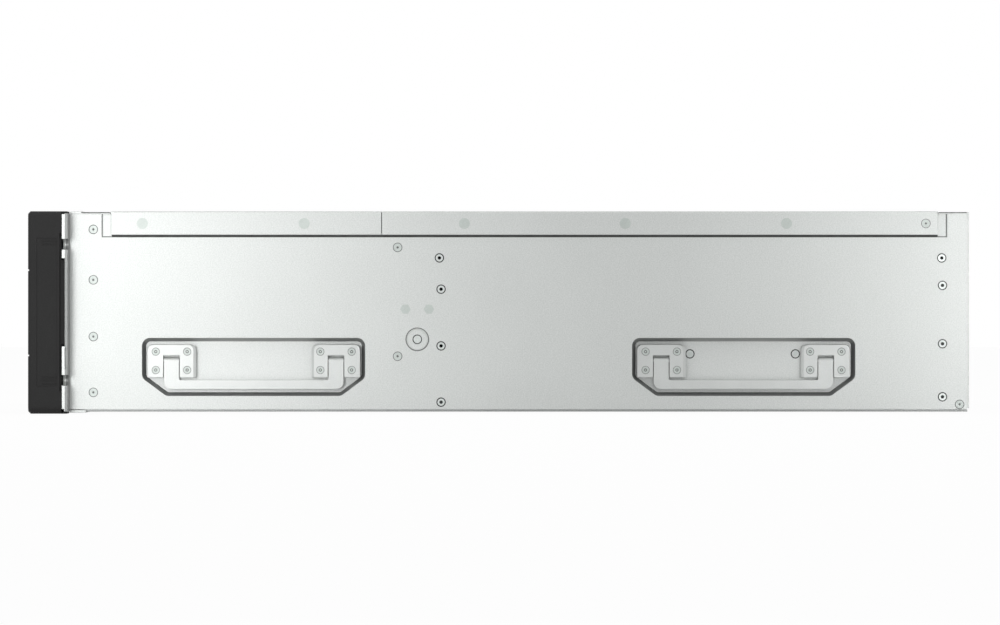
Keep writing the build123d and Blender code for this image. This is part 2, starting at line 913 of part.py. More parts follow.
def cover(depth0, depth1):
    # Shallow channel: flat top with a skirt down each side and rounded bends
    outer = make_face(
        Polyline(
            (-body_half, skirt_bottom),
            (-body_half, cover_top),
            (body_half, cover_top),
            (body_half, skirt_bottom),
            (inner_half, skirt_bottom),
            (inner_half, cover_inside),
            (-inner_half, cover_inside),
            (-inner_half, skirt_bottom),
            close=True,
        )
    )
    bends = outer.vertices().sort_by(Axis.Y)[-2:]
    profile = fillet(bends, cover_bend)
    return extrude(front_plane(depth1) * profile, amount=depth1 - depth0)


def motherboard_tray():
    # Raised shelf on two long legs, with a flange up its right edge and the board's hexagonal standoffs
    front = board_front - board_tray_front
    rear = board_rear - board_tray_rear
    left = board_left - board_inset
    right = cage_half + cage_gap
    tray = block(left, right, front, rear, board_tray_height, tray_top)
    tray += block(left, left + sheet, front, rear, pan_top, tray_top)
    leg_right = right - panel_flange
    tray += block(leg_right - sheet, leg_right, front, rear, pan_top, tray_top)
    tray += block(right - sheet, right, front, rear, board_tray_height, bracket_top)
    hexagon = RegularPolygon(standoff_radius, 6)
    standoff = extrude(hexagon, amount=board_standoff)
    columns_at = (board_left + standoff_inset, (board_left + board_right) / 2, board_right - standoff_inset)
    rows_at = (board_front + standoff_inset, (board_front + board_rear) / 2, board_rear - standoff_inset)
    for across in columns_at:
        for depth in rows_at:
            tray += Pos(across, y_at(depth), tray_top) * standoff
    return tray


def motherboard():
    # Board with heatsink, memory, card slots and the sockets that show in the rear shield
    pieces = [block(board_left, board_right, board_front, board_rear, board_bottom, board_top)]
    pieces.append(heatsink(board_right - heatsink_from_right, board_front + heatsink_from_front))
    memory_front = board_front + memory_from_front
    for index in range(memory_sticks):
        left = board_right - memory_from_right + index * memory_pitch
        pieces.append(
            block(
                left, left + memory_thickness, memory_front, memory_front + memory_length,
                board_top, board_top + memory_height,
            )
        )
    card_slot_rear = board_rear - card_slot_from_rear
    for index in range(slot_count):
        left = slot_left(index) + slot_width / 2
        pieces.append(
            block(
                left, left + card_slot_width, card_slot_rear - card_slot_length, card_slot_rear,
                board_top, board_top + card_slot_height,
            )
        )
    return pieces + [port(*sizes) for sizes in ports]


def port_cavities(offset, width, height, count):
    # Low and high end of each stacked socket, with the socket's left and right
    right = shield_right - offset - port_wall
    left = shield_right - offset - width + port_wall
    tall = (height - (count + 1) * port_wall) / count
    lows = [board_top + port_wall + index * (tall + port_wall) for index in range(count)]
    return [(left, right, low, low + tall) for low in lows]


def port(offset, width, height, count):
    # A block of stacked sockets, open to the rear
    right = shield_right - offset
    rear = shield_rear + port_proud
    body = block(right - width, right, board_rear - port_depth, rear, board_top, board_top + height)
    for left, end, low, high in port_cavities(offset, width, height, count):
        body -= block(left, end, rear - port_cavity, rear + sheet, low, high)
    return body


def heatsink(left, depth):
    # Base and fins drawn as one comb profile, run along the airflow
    pitch = (heatsink_size - heatsink_fin) / (heatsink_fins - 1)
    comb = Rectangle(heatsink_size, heatsink_base, align=(Align.MIN, Align.MIN))
    for index in range(heatsink_fins):
        comb += Pos(index * pitch, 0) * Rectangle(heatsink_fin, heatsink_height, align=(Align.MIN, Align.MIN))
    plane = front_plane(depth + heatsink_size)
    return extrude(plane * Pos(left, board_top) * comb, amount=heatsink_size)


def slot_left(index):
    return shield_left - slot_gap - slot_width - index * slot_pitch


def rear_panel():
    # Rear plate with vents, its deck, the board's shield and the expansion slot covers
    half = body_half - rear_plate_inset
    front = panel_rear - sheet
    rear = plate_rear + sheet
    plate = block(-half, half, panel_rear, plate_rear, pan_top + rear_plate_foot, deck_top)
    plate -= block(
        shield_left + shield_lap, shield_right - shield_lap, front, rear,
        shield_bottom + shield_lap, shield_top - shield_lap,
    )
    plate -= block(
        supply_left - seat_gap, supply_right + seat_gap, front, rear,
        supply_floors[0] - seat_gap, supply_bay_top,
    )
    vent_low = shield_top + vent_lift
    for index in range(vent_count):
        left = shield_left + shield_lap + index * vent_pitch
        plate -= block(left, left + vent_width, front, rear, vent_low, vent_low + vent_height)
    covers = []
    for index in range(slot_count):
        left = slot_left(index)
        plate -= block(left, left + slot_width, front, rear, shield_bottom, shield_bottom + slot_height)
        covers.append(
            block(
                left - slot_cover_lap, left + slot_width + slot_cover_lap,
                panel_rear - slot_cover_plate, panel_rear,
                shield_bottom - slot_cover_lap, shield_bottom + slot_height + 2 * slot_cover_lap,
            )
        )
    shield = block(shield_left, shield_right, plate_rear, shield_rear, shield_bottom, shield_top)
    for offset, width, height, _ in ports:
        right = shield_right - offset
        shield -= block(
            right - width - seat_gap, right + seat_gap, plate_rear - sheet, rear,
            board_top - seat_gap, board_top + height + seat_gap,
        )
    knob = rod_y(knob_radius, shield_left - knob_gap, knob_height, plate_rear, plate_rear + knob_proud)
    lug_right = shield_right - lug_inset
    lug = block(lug_right - lug_width, lug_right, plate_rear, overall_depth, lug_low, lug_high)
    deck = block(-body_half, body_half, cover_rear + seam_gap, panel_rear, deck_bottom, deck_top)
    return [plate + knob + lug, deck, shield] + covers


def supply_bay():
    # Walls and shelf that guide the two power supplies, with the board that they plug into
    outer = -cage_half
    front = supply_front - supply_board_gap
    inner = supply_right + seat_gap
    top = supply_bay_top
    shelf_top = supply_floors[1] - seat_gap
    walls = [
        block(outer, outer + divider, front, panel_rear, pan_top, top + divider),
        block(inner, inner + divider, front, panel_rear, pan_top, top + divider),
        block(outer, inner + divider, front - board_thickness, front, pan_top, top + divider),
    ]
    for high in (cage_floor, shelf_top, top + divider):
        walls.append(block(outer + divider, inner, front, panel_rear, high - divider, high))
    return walls


def power_supply(floor):
    # Closed unit with a mains inlet and a pull handle inside the depth of the bay
    body = block(supply_left, supply_right, supply_front, supply_rear, floor, floor + supply_height)
    inlet_low = floor + (supply_height - inlet_height) / 2
    body -= block(
        inlet_left, inlet_left + inlet_width, supply_rear - inlet_depth, supply_rear + sheet,
        inlet_low, inlet_low + inlet_height,
    )
    handle_rear = supply_rear + supply_handle
    low = floor + supply_grip_inset
    high = floor + supply_height - supply_grip_inset
    grip = block(grip_left, grip_left + supply_grip_width, supply_rear, handle_rear, low, high)
    grip -= block(
        grip_left - sheet, grip_left + supply_grip_width + sheet, supply_rear, handle_rear - supply_grip_bar,
        low + supply_grip_bar, high - supply_grip_bar,
    )
    return body + grip


def main():
    write("bottom_pan", bottom_pan())
    right_panel, left_panel = both_sides(side_panel())
    write("side_panel_right", right_panel)
    write("side_panel_left", left_panel)
    write("front_frame", front_frame())
    write("drive_cage", *drive_cage())
    write("backplane", backplane())
    write("fan_wall", fan_wall())
    write("fan_frames", *[fan_frame(across) for across in fan_places()])
    for index, across in enumerate(fan_places()):
        write(f"fan_rotor_{index + 1}", fan_rotor(across))
    write("motherboard_tray", motherboard_tray())
    write("motherboard", *motherboard())
    write("rear_panel", *rear_panel())
    write("supply_bay", *supply_bay())
    write("power_supply_lower", power_supply(supply_floors[0]))
    write("power_supply_upper", power_supply(supply_floors[1]))
    write("front_cover", cover(cover_front, cover_seam - seam_gap / 2))
    write("rear_cover", cover(cover_seam + seam_gap / 2, cover_rear))
    write("ear_brackets", *both_sides(ear_bracket()))
    write("ear_caps", *ear_caps())
    write("power_button", power_button())
    write("panel_screws", *panel_screws())

    brackets = []
    for place in bracket_places():
        for piece in handle_bracket():
            brackets.extend(both_sides(Pos(0, y_at(place), 0) * piece))
    write("handle_brackets", *brackets)
    handle = lift_handle()
    for name, centre in pocket_centres.items():
        right_handle, left_handle = both_sides(Pos(0, y_at(centre), 0) * handle)
        write(f"lift_handle_{name}_right", right_handle)
        write(f"lift_handle_{name}_left", left_handle)

    tray_pieces = [tray_bezel(), tray_carrier(), tray_drive()]
    lever = tray_lever()
    for row in range(rows):
        for column in range(columns):
            across, foot = tray_middle(column, row)
            place = Pos(across, 0, foot)
            label = f"{row + 1}{column + 1}"
            write(f"tray_{label}", *[place * piece for piece in tray_pieces])
            write(f"tray_lever_{label}", place * lever)


main()
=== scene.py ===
import bmesh
import bpy
import json
import math
from mathutils import Matrix, Vector


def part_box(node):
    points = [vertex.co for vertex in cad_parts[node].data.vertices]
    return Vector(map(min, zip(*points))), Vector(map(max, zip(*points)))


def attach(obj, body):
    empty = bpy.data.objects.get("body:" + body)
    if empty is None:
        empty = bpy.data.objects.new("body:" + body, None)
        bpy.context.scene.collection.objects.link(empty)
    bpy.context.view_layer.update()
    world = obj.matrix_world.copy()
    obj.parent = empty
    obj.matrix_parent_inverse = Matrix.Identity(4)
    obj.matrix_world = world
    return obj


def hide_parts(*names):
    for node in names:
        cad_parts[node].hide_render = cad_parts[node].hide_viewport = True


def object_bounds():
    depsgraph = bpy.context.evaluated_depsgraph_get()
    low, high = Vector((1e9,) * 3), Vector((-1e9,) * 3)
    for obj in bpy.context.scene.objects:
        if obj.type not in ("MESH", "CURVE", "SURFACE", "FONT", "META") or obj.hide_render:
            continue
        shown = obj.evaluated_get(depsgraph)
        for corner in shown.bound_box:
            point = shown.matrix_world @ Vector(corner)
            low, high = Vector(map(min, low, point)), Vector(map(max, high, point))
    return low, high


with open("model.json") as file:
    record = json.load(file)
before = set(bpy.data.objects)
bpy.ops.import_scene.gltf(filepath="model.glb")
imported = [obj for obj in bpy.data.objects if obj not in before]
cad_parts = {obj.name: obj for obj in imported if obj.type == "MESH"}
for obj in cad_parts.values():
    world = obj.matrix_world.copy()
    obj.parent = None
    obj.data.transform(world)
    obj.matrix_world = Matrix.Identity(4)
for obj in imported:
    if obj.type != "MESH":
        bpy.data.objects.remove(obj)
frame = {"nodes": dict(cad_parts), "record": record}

cadLow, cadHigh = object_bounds()
mm = 0.001
nodes = frame["nodes"]
record = frame["record"]
print("frame loaded:", len(nodes), "nodes")


# Places

def atDepth(depth):
    return cadLow.y + depth * mm  # depth is measured back from the front face, in millimetres


def sidePlace(side, y, z, outside):
    # Local x runs to the rear (to the front on the left side), local y up, local z out of the side
    turn = Matrix(((0, 0, side), (side, 0, 0), (0, 1, 0))).to_4x4()
    return Matrix.Translation((side * outside, y, z)) @ turn


def frontPlace(x, y, z, way=1):
    # Local x runs right, local y up, local z towards someone in front
    turn = Matrix(((way, 0, 0), (0, 0, -way), (0, 1, 0))).to_4x4()
    return Matrix.Translation((x, y, z)) @ turn


def rearPlace(x, y, z):
    # Local x runs left as seen from the front, local y up, local z out of the rear
    return frontPlace(x, y, z, -1)


def sidePlaces(marks, outside):
    # Both sides; marks are pairs of depth and height in millimetres
    return [
        sidePlace(side, atDepth(depth), height * mm, outside)
        for side in (1, -1) for depth, height in marks
    ]


# Mesh makers. Their sizes are in millimetres, along the axes of the place they are given

def hexAt(radius, angle):
    sixth = math.pi / 3
    return radius * math.cos(sixth / 2) / math.cos((angle + sixth / 2) % sixth - sixth / 2)


def pointedHexAt(radius, angle):
    return hexAt(radius, angle + math.pi / 2)


def bridge(bm, first, second):
    for index in range(len(first)):
        after = (index + 1) % len(first)
        bm.faces.new((first[index], second[index], second[after], first[after]))


def addTurned(bm, place, loops, count=24):
    # Each ring is a radius and a height, with a shape if it isn't round; a radius of 0 closes the stack
    previous = None
    for radius, height, *shape in loops:
        ring = []
        for index in range(count if radius else 1):
            angle = 2 * math.pi * index / count
            reach = (shape[0](radius, angle) if shape else radius) * mm
            spot = Vector((reach * math.cos(angle), reach * math.sin(angle), height * mm))
            ring.append(bm.verts.new(place @ spot))
        if previous and len(previous) == len(ring):
            bridge(bm, previous, ring)
        elif previous:
            for index in range(count):
                after = (index + 1) % count
                if len(previous) == 1:
                    bm.faces.new((previous[0], ring[index], ring[after]))
                else:
                    bm.faces.new((previous[index], ring[0], previous[after]))
        previous = ring


def addStack(bm, place, layers):
    # Bridges layers (outline, height) with the same number of points and closes both ends
    rings = []
    for outline, height in layers:
        rings.append([bm.verts.new(place @ Vector((x * mm, y * mm, height * mm))) for x, y in outline])
    for low, high in zip(rings, rings[1:]):
        for index in range(len(low)):
            after = (index + 1) % len(low)
            bm.faces.new((low[index], low[after], high[after], high[index]))
    bm.faces.new(list(reversed(rings[0])))
    bm.faces.new(rings[-1])


def addPrism(bm, place, outline, low, high):
    addStack(bm, place, [(outline, low), (outline, high)])


def addHoop(bm, place, radius, wire, height, count=36, sides=8):
    # A ring of round wire
    rings = []
    for index in range(count):
        angle = 2 * math.pi * index / count
        ring = []
        for part in range(sides):
            turn = 2 * math.pi * part / sides
            reach = (radius + wire * math.cos(turn)) * mm
            rise = (height + wire * math.sin(turn)) * mm
            spot = Vector((reach * math.cos(angle), reach * math.sin(angle), rise))
            ring.append(bm.verts.new(place @ spot))
        rings.append(ring)
    for index in range(count):
        bridge(bm, rings[index], rings[(index + 1) % count])


def rectangle(width, height, x=0.0, y=0.0):
    return [
        (x - width / 2, y - height / 2), (x + width / 2, y - height / 2),
        (x + width / 2, y + height / 2), (x - width / 2, y + height / 2),
    ]


def frameBars(width, height, wall):
    # The four bars of an open frame
    across, up = (width - wall) / 2, (height - wall) / 2
    return [
        rectangle(width, wall, 0, up), rectangle(width, wall, 0, -up),
        rectangle(wall, height, across, 0), rectangle(wall, height, -across, 0),
    ]


def arcPoints(x, y, radius, start, end, steps=5):
    points = []
    for step in range(steps + 1):
        angle = math.radians(start + (end - start) * step / steps)
        points.append((x + radius * math.cos(angle), y + radius * math.sin(angle)))
    return points


def roundedRectangle(width, height, radius):
    points = []
    for signX, signY, start in ((1, 1, 0), (-1, 1, 90), (-1, -1, 180), (1, -1, 270)):
        x = signX * (width / 2 - radius)
        y = signY * (height / 2 - radius)
        points += arcPoints(x, y, radius, start, start + 90, 4)
    return points


def ringLoops(inner, outer, proud, foot=-0.1):
    return [(inner, foot), (inner, proud), (outer, proud), (outer, foot), (inner, foot)]


def discLoops(radius, proud, *shape):
    flare = 0.05
    return [(0, proud), (radius, proud, *shape), (radius + flare, -flare, *shape), (0, -flare)]


def latheLoops(radius, profile):
    # Rows of the profile say how far inside the radius, and the height; both ends are closed
    rings = [(radius - inset, height) for inset, height in profile]
    return [(0, profile[0][1]), *rings, (0, profile[-1][1])]


def linkMesh(name, bm):
    mesh = bpy.data.meshes.new(name)
    bm.to_mesh(mesh)
    bm.free()
    piece = bpy.data.objects.new(name, mesh)
    bpy.context.scene.collection.objects.link(piece)
    return piece


def roundEdges(piece, width, angle=30):
    edge = piece.modifiers.new("edge", "BEVEL")
    edge.width = width * mm
    edge.segments = 2
    edge.limit_method = "ANGLE"
    edge.angle_limit = math.radians(angle)


def finishPiece(name, bm, body, look, bevel=0.0, smoothAngle=35):
    # Makes a named piece of the mesh, with one finish, that rides on one body
    bmesh.ops.remove_doubles(bm, verts=bm.verts, dist=1e-7)
    bmesh.ops.recalc_face_normals(bm, faces=bm.faces)
    piece = linkMesh(name, bm)
    for face in piece.data.polygons:
        face.use_smooth = True
    piece.data.set_sharp_from_angle(angle=math.radians(smoothAngle))
    piece.data.materials.append(finish[look])
    if bevel:
        roundEdges(piece, bevel)
    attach(piece, body)
    return piece


def turnedPiece(name, places, loops, body, look, count=24, smoothAngle=35):
    bm = bmesh.new()
    for place in places:
        addTurned(bm, place, loops, count)
    return finishPiece(name, bm, body, look, 0.0, smoothAngle)


def prismPiece(name, shapes, body, look, bevel=0.0):
    # Shapes are (place, outline, low, high)
    bm = bmesh.new()
    for place, outline, low, high in shapes:
        addPrism(bm, place, outline, low, high)
    return finishPiece(name, bm, body, look, bevel)


# Materials

def startMaterial(name):
    material = bpy.data.materials.new(name)
    material.use_nodes = True
    tree = material.node_tree
    shader = tree.nodes["Principled BSDF"]
    place = tree.nodes.new("ShaderNodeTexCoord").outputs["Object"]
    return material, tree, shader, place


def setSockets(tree, node, values):
    # Each value is a number, a colour or the output of another node
    for name, value in values.items():
        if isinstance(value, bpy.types.NodeSocket):
            tree.links.new(value, node.inputs[name])
        else:
            node.inputs[name].default_value = value


def newNode(tree, kind, values):
    node = tree.nodes.new(f"ShaderNode{kind}")
    setSockets(tree, node, values)
    return node


def addNoise(tree, place, scale, detail=2.0):
    return newNode(tree, "TexNoise", {"Scale": scale, "Detail": detail, "Vector": place})


def addRamp(tree, source, low, high, dark, light):
    ramp = newNode(tree, "ValToRGB", {"Fac": source})
    for element, position, tone in zip(ramp.color_ramp.elements, (low, high), (dark, light)):
        element.position = position
        element.color = (*tone, 1)
    return ramp.outputs["Color"]


def mixColours(tree, amount, first, second, blend="MIX"):
    mix = newNode(tree, "Mix", {})
    mix.data_type = "RGBA"
    mix.blend_type = blend
    setSockets(tree, mix, {"Factor": amount, "A": first, "B": second})
    return mix.outputs["Result"]


def calculate(tree, operation, *values):
    node = newNode(tree, "Math", dict(enumerate(values)))
    node.operation = operation
    return node.outputs[0]


def partAlong(tree, output, axis):
    return newNode(tree, "SeparateXYZ", {"Vector": output}).outputs[axis]


def levelMask(tree, place, axis, limit, way="GREATER_THAN"):
    # 1 on one side of a level, in metres, along one axis
    return calculate(tree, way, partAlong(tree, place, axis), limit)


def addBump(tree, shader, height, strength, distance):
    bump = newNode(tree, "Bump", {"Strength": strength, "Distance": distance * mm, "Height": height})
    setSockets(tree, shader, {"Normal": bump.outputs["Normal"]})


def varyRoughness(tree, shader, source, low, high):
    spread = newNode(tree, "MapRange", {"To Min": low, "To Max": high, "Value": source})
    setSockets(tree, shader, {"Roughness": spread.outputs["Result"]})


def finishColour(tree, place, values):
    # Broad patches of two tones, with a fine grain over them
    patches = addNoise(tree, place, values["patchScale"], 3.0).outputs["Fac"]
    grain = addNoise(tree, place, values["grainScale"]).outputs["Fac"]
    tone = addRamp(tree, patches, 0.35, 0.65, values["dark"], values["light"])
    speck = addRamp(tree, grain, 0.3, 0.7, (0.0, 0.0, 0.0), (1.0, 1.0, 1.0))
    return mixColours(tree, values["grainShare"], tone, speck, "OVERLAY"), patches, grain


def giveSurface(tree, shader, colour, patches, grain, values):
    setSockets(tree, shader, {
        "Base Color": colour, "Metallic": values["metal"], "Specular IOR Level": values["shine"],
    })
    varyRoughness(tree, shader, patches, *values["rough"])
    addBump(tree, shader, grain, values["bump"], values["bumpDepth"])


def grainedMaterial(name, values):
    material, tree, shader, place = startMaterial(name)
    giveSurface(tree, shader, *finishColour(tree, place, values), values)
    return material


def surface(
    tone, spread, metal, rough, grain=1500.0, share=0.1, bump=0.2, depth=0.04, patch=60.0, shine=0.5,
):
    # Two tones either side of one linear reflectance; the bump's depth is in millimetres
    return {
        "dark": tuple(part * (1 - spread) for part in tone),
        "light": tuple(part * (1 + spread) for part in tone),
        "patchScale": patch, "grainScale": grain, "grainShare": share, "metal": metal, "rough": rough,
        "bump": bump, "bumpDepth": depth, "shine": shine,
    }


sheetGrain = {"grain": 1300, "share": 0.13, "patch": 14}
edgeGrain = {"grain": 1300, "share": 0.13, "patch": 30}
headGrain = {"grain": 2500, "share": 0.08, "patch": 200}
fineGrain = {"grain": 3000, "patch": 300}
finishes = {
    "sheetSteel": surface((0.6, 0.62, 0.607), 0.018, 0.25, (0.4, 0.48), **sheetGrain),
    "cageSteel": surface((0.45, 0.46, 0.46), 0.12, 0.8, (0.35, 0.55), grain=700, share=0.25),
    "castZinc": surface((0.585, 0.603, 0.592), 0.03, 0.25, (0.34, 0.42), 1800, 0.06, patch=50),
    "screwSteel": surface((0.56, 0.59, 0.575), 0.05, 0.4, (0.3, 0.4), **fineGrain),
    # Painted shade: a grey for the grooves round screw heads and for their sockets
    "ringSteel": surface((0.15, 0.157, 0.153), 0.1, 0.2, (0.45, 0.55), shine=0.3, **fineGrain),
    # Painted shade: a dark tone for the gaps round the inserts and the boss; it is also the dark grey of the
    # filled inserts' centres
    "darkRing": surface((0.03, 0.033, 0.032), 0.15, 0.0, (0.55, 0.65), shine=0.2, **fineGrain),
    "headSteel": surface((0.52, 0.56, 0.538), 0.03, 0.25, (0.4, 0.48), **headGrain),
    "rivetSteel": surface((0.495, 0.54, 0.515), 0.03, 0.25, (0.42, 0.5), **headGrain),
    # Painted shade: a dark grey for the edge of the ear plate behind its pads and for the corners of the
    # cover recess
    "edgeSteel": surface((0.2, 0.207, 0.203), 0.05, 0.25, (0.42, 0.52), **edgeGrain),
    "panSteel": surface((0.31, 0.32, 0.315), 0.05, 0.3, (0.42, 0.52), **edgeGrain),
    # Painted shade: a near black for strips in the gaps under and between the covers and along the deck edges
    "sealBlack": surface((0.082, 0.085, 0.083), 0.12, 0.0, (0.75, 0.85), 2600, patch=200, shine=0.2),
    "capPlastic": surface((0.021, 0.021, 0.021), 0.08, 0.0, (0.6, 0.7), 2600, 0.15, patch=30, shine=0.14),
    "leverPlastic": surface((0.03, 0.03, 0.031), 0.12, 0.0, (0.4, 0.5), 2200, 0.15),
    "fanPlastic": surface((0.02, 0.02, 0.021), 0.15, 0.0, (0.35, 0.5), 2000, 0.12),
    "socketPlastic": surface((0.012, 0.012, 0.012), 0.15, 0.0, (0.35, 0.45), 2600, patch=200),
    "chipBlack": surface((0.016, 0.016, 0.017), 0.12, 0.0, (0.3, 0.42), 2600, patch=150),
    "latchBlue": surface((0.03, 0.11, 0.29), 0.08, 0.0, (0.32, 0.42), 2400, patch=120),
    "contactGold": surface((0.75, 0.52, 0.2), 0.08, 0.95, (0.2, 0.3), 2000, patch=300),
    "canAluminium": surface((0.66, 0.67, 0.68), 0.06, 0.9, (0.24, 0.36), patch=120),
    "wireSteel": surface((0.5, 0.51, 0.51), 0.08, 0.85, (0.22, 0.32), 2000, patch=120),
    # Painted shade: a near black for the insides of the open insert bores and of the supply fan openings
    "boreBlack": surface((0.005, 0.005, 0.005), 0.2, 0.0, (0.7, 0.8), shine=0.05, **fineGrain),
}
driveFinish = surface((0.5, 0.51, 0.52), 0.1, 0.85, (0.34, 0.46), 900, 0.12, bump=0.15, patch=35)
# Painted shade for the steep walls of the handle pockets, less dark for the walls that face down, and painted
# light for the pocket floors
pocketWallShade = surface((0.18, 0.187, 0.183), 0.08, 0.0, (0.5, 0.6), grain=1300, patch=40)
pocketFloorLight = surface((0.66, 0.68, 0.667), 0.018, 0.0, (0.5, 0.6), **sheetGrain)
crownWallShade = surface((0.29, 0.3, 0.295), 0.05, 0.0, (0.5, 0.6), grain=1300, patch=40)
finish = {name: grainedMaterial(name, values) for name, values in finishes.items()}

# Nodes with more than one look: masks in their materials follow these measures
pocketLightAndShade = {"depth": 9.25 * mm, "rim": 0.35 * mm, "lean": 0.6, "upright": 0.05, "crown": 0.5}
earEdgeDepth = 24.05
bezelBackDepth = 25.7
backplaneThickness = 2.0 * mm
boardSizes = {
    "thickness": 1.6 * mm, "clear": 0.02 * mm, "finsFromRight": 142 * mm, "finsEnd": 64 * mm,
    "shellDepth": 26 * mm,
}
lacquer = {
    "Scale": 220, "Mortar Size": 0.06, "Color1": (0.012, 0.075, 0.04, 1),
    "Color2": (0.016, 0.09, 0.048, 1), "Mortar": (0.03, 0.14, 0.08, 1),
}
lacquerLook = {
    "patchScale": 90.0, "share": 0.25, "rough": (0.28, 0.42), "bumpDepth": 0.03, "backplaneBump": 0.2,
    "boardBump": 0.15,
}


def panelMaterial():
    # Bright sheet; in the handle pockets painted shade darkens the steep walls, less where they face down,
    # and painted light brightens the floors
    material, tree, shader, place = startMaterial("panelSteel")
    sheet, patches, grain = finishColour(tree, place, finishes["sheetSteel"])
    normal = tree.nodes.new("ShaderNodeNewGeometry").outputs["True Normal"]
    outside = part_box("side_panel_right")[1].x
    size = pocketLightAndShade
    across = calculate(tree, "ABSOLUTE", partAlong(tree, place, "X"))
    lean = calculate(tree, "ABSOLUTE", partAlong(tree, normal, "X"))
    down = calculate(tree, "LESS_THAN", partAlong(tree, normal, "Z"), -size["crown"])
    # Painted shade on the pocket walls, less dark where they face down; painted light on the pocket floors
    wall = mixColours(tree, down, *(finishColour(tree, place, tone)[0] for tone in (pocketWallShade, crownWallShade)))
    floor = calculate(tree, "LESS_THAN", across, outside - size["depth"])
    sheet = mixColours(tree, floor, sheet, finishColour(tree, place, pocketFloorLight)[0])
    steep = calculate(tree, "GREATER_THAN", across, outside - size["depth"])
    for way, source, limit in (
        ("LESS_THAN", across, outside - size["rim"]), ("LESS_THAN", lean, size["lean"]),
        ("GREATER_THAN", lean, size["upright"]),
    ):
        steep = calculate(tree, "MULTIPLY", steep, calculate(tree, way, source, limit))
    colour = mixColours(tree, steep, sheet, wall)
    giveSurface(tree, shader, colour, patches, grain, finishes["sheetSteel"])
    return material


def earMaterial():
    # Bright hemmed pads in front; the edge of the plate behind them is painted darker, as painted shade
    material, tree, shader, place = startMaterial("earSteel")
    behind = levelMask(tree, place, "Y", atDepth(earEdgeDepth))
    sheet, patches, grain = finishColour(tree, place, finishes["sheetSteel"])
    edge = finishColour(tree, place, finishes["edgeSteel"])[0]
    colour = mixColours(tree, behind, sheet, edge)
    giveSurface(tree, shader, colour, patches, grain, finishes["sheetSteel"])
    return material


def trayMaterial():
    # Black bezel in front, bright carrier and drive behind it
    material, tree, shader, place = startMaterial("trayParts")
    behind = levelMask(tree, place, "Y", atDepth(bezelBackDepth))
    metal, _, grain = finishColour(tree, place, driveFinish)
    plastic = finishColour(tree, place, finishes["leverPlastic"])[0]
    setSockets(tree, shader, {"Base Color": mixColours(tree, behind, plastic, metal), "Metallic": behind})
    varyRoughness(tree, shader, grain, *driveFinish["rough"])
    addBump(tree, shader, grain, driveFinish["bump"], driveFinish["bumpDepth"])
    return material


def addLacquer(tree, shader, place, bump):
    # Green solder lacquer with a lattice of tracks just visible through it
    tracks = newNode(tree, "TexBrick", {**lacquer, "Vector": place})
    patches = addNoise(tree, place, lacquerLook["patchScale"], 3.0)
    varyRoughness(tree, shader, patches.outputs["Fac"], *lacquerLook["rough"])
    addBump(tree, shader, tracks.outputs["Fac"], bump, lacquerLook["bumpDepth"])
    return mixColours(
        tree, lacquerLook["share"], tracks.outputs["Color"], patches.outputs["Color"], "OVERLAY"
    )


def backplaneMaterial():
    # The board is lacquered and its connectors, in front of it, are black
    material, tree, shader, place = startMaterial("backplaneParts")
    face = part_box("backplane")[1].y - backplaneThickness
    front = levelMask(tree, place, "Y", face, "LESS_THAN")
    board = addLacquer(tree, shader, place, lacquerLook["backplaneBump"])
    black = finishColour(tree, place, finishes["chipBlack"])[0]
    setSockets(tree, shader, {"Base Color": mixColours(tree, front, board, black)})
    return material


def motherboardMaterial():
    # Lacquer on the board; above it aluminium fins, black memory and slots, and bright socket shells
    material, tree, shader, place = startMaterial("motherboardParts")
    low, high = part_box("motherboard")
    above = levelMask(tree, place, "Z", low.z + boardSizes["thickness"] + boardSizes["clear"])
    board = addLacquer(tree, shader, place, lacquerLook["boardBump"])
    black = finishColour(tree, place, finishes["chipBlack"])[0]
    bright = finishColour(tree, place, finishes["canAluminium"])[0]
    fins = calculate(
        tree, "MULTIPLY", levelMask(tree, place, "X", high.x - boardSizes["finsFromRight"]),
        levelMask(tree, place, "X", high.x - boardSizes["finsEnd"], "LESS_THAN"),
    )
    shells = levelMask(tree, place, "Y", high.y - boardSizes["shellDepth"])
    parts = mixColours(tree, shells, mixColours(tree, fins, black, bright), bright)
    metal = calculate(tree, "MULTIPLY", above, calculate(tree, "MAXIMUM", fins, shells))
    setSockets(tree, shader, {"Base Color": mixColours(tree, above, board, parts), "Metallic": metal})
    return material


finish["panelSteel"] = panelMaterial()
finish["earSteel"] = earMaterial()
finish["trayParts"] = trayMaterial()
finish["backplaneParts"] = backplaneMaterial()
finish["motherboardParts"] = motherboardMaterial()

# Both tables go by the start of a node's name, and the first row that fits counts
nodeFinish = {
    "bottom_pan": "panSteel", "side_panel": "panelSteel", "front_": "sheetSteel", "rear_": "sheetSteel",
    "ear_brackets": "earSteel", "ear_caps": "capPlastic", "drive_cage": "cageSteel",
    "motherboard_tray": "cageSteel", "supply_bay": "cageSteel", "power_supply": "cageSteel",
    "fan_wall": "cageSteel", "fan_": "fanPlastic", "backplane": "backplaneParts",
    "motherboard": "motherboardParts", "handle_brackets": "castZinc", "lift_handle": "castZinc",
    "panel_screws": "screwSteel", "power_button": "leverPlastic", "tray_lever": "leverPlastic",
    "tray_": "trayParts",
}
edgeWidths = {
    "ear_caps": 0.5, "ear_brackets": 0.25, "side_panel": 0.3, "front_frame": 0.3, "front_cover": 0.2,
    "rear_cover": 0.2, "rear_panel": 0.15, "bottom_pan": 0.25, "power_": 0.6, "fan_frames": 0.4,
    "fan_rotor": 0.25, "drive_cage": 0.2, "motherboard_tray": 0.25, "tray_lever": 0.4, "tray_": 0.25,
    "lift_handle": 0.45,
}


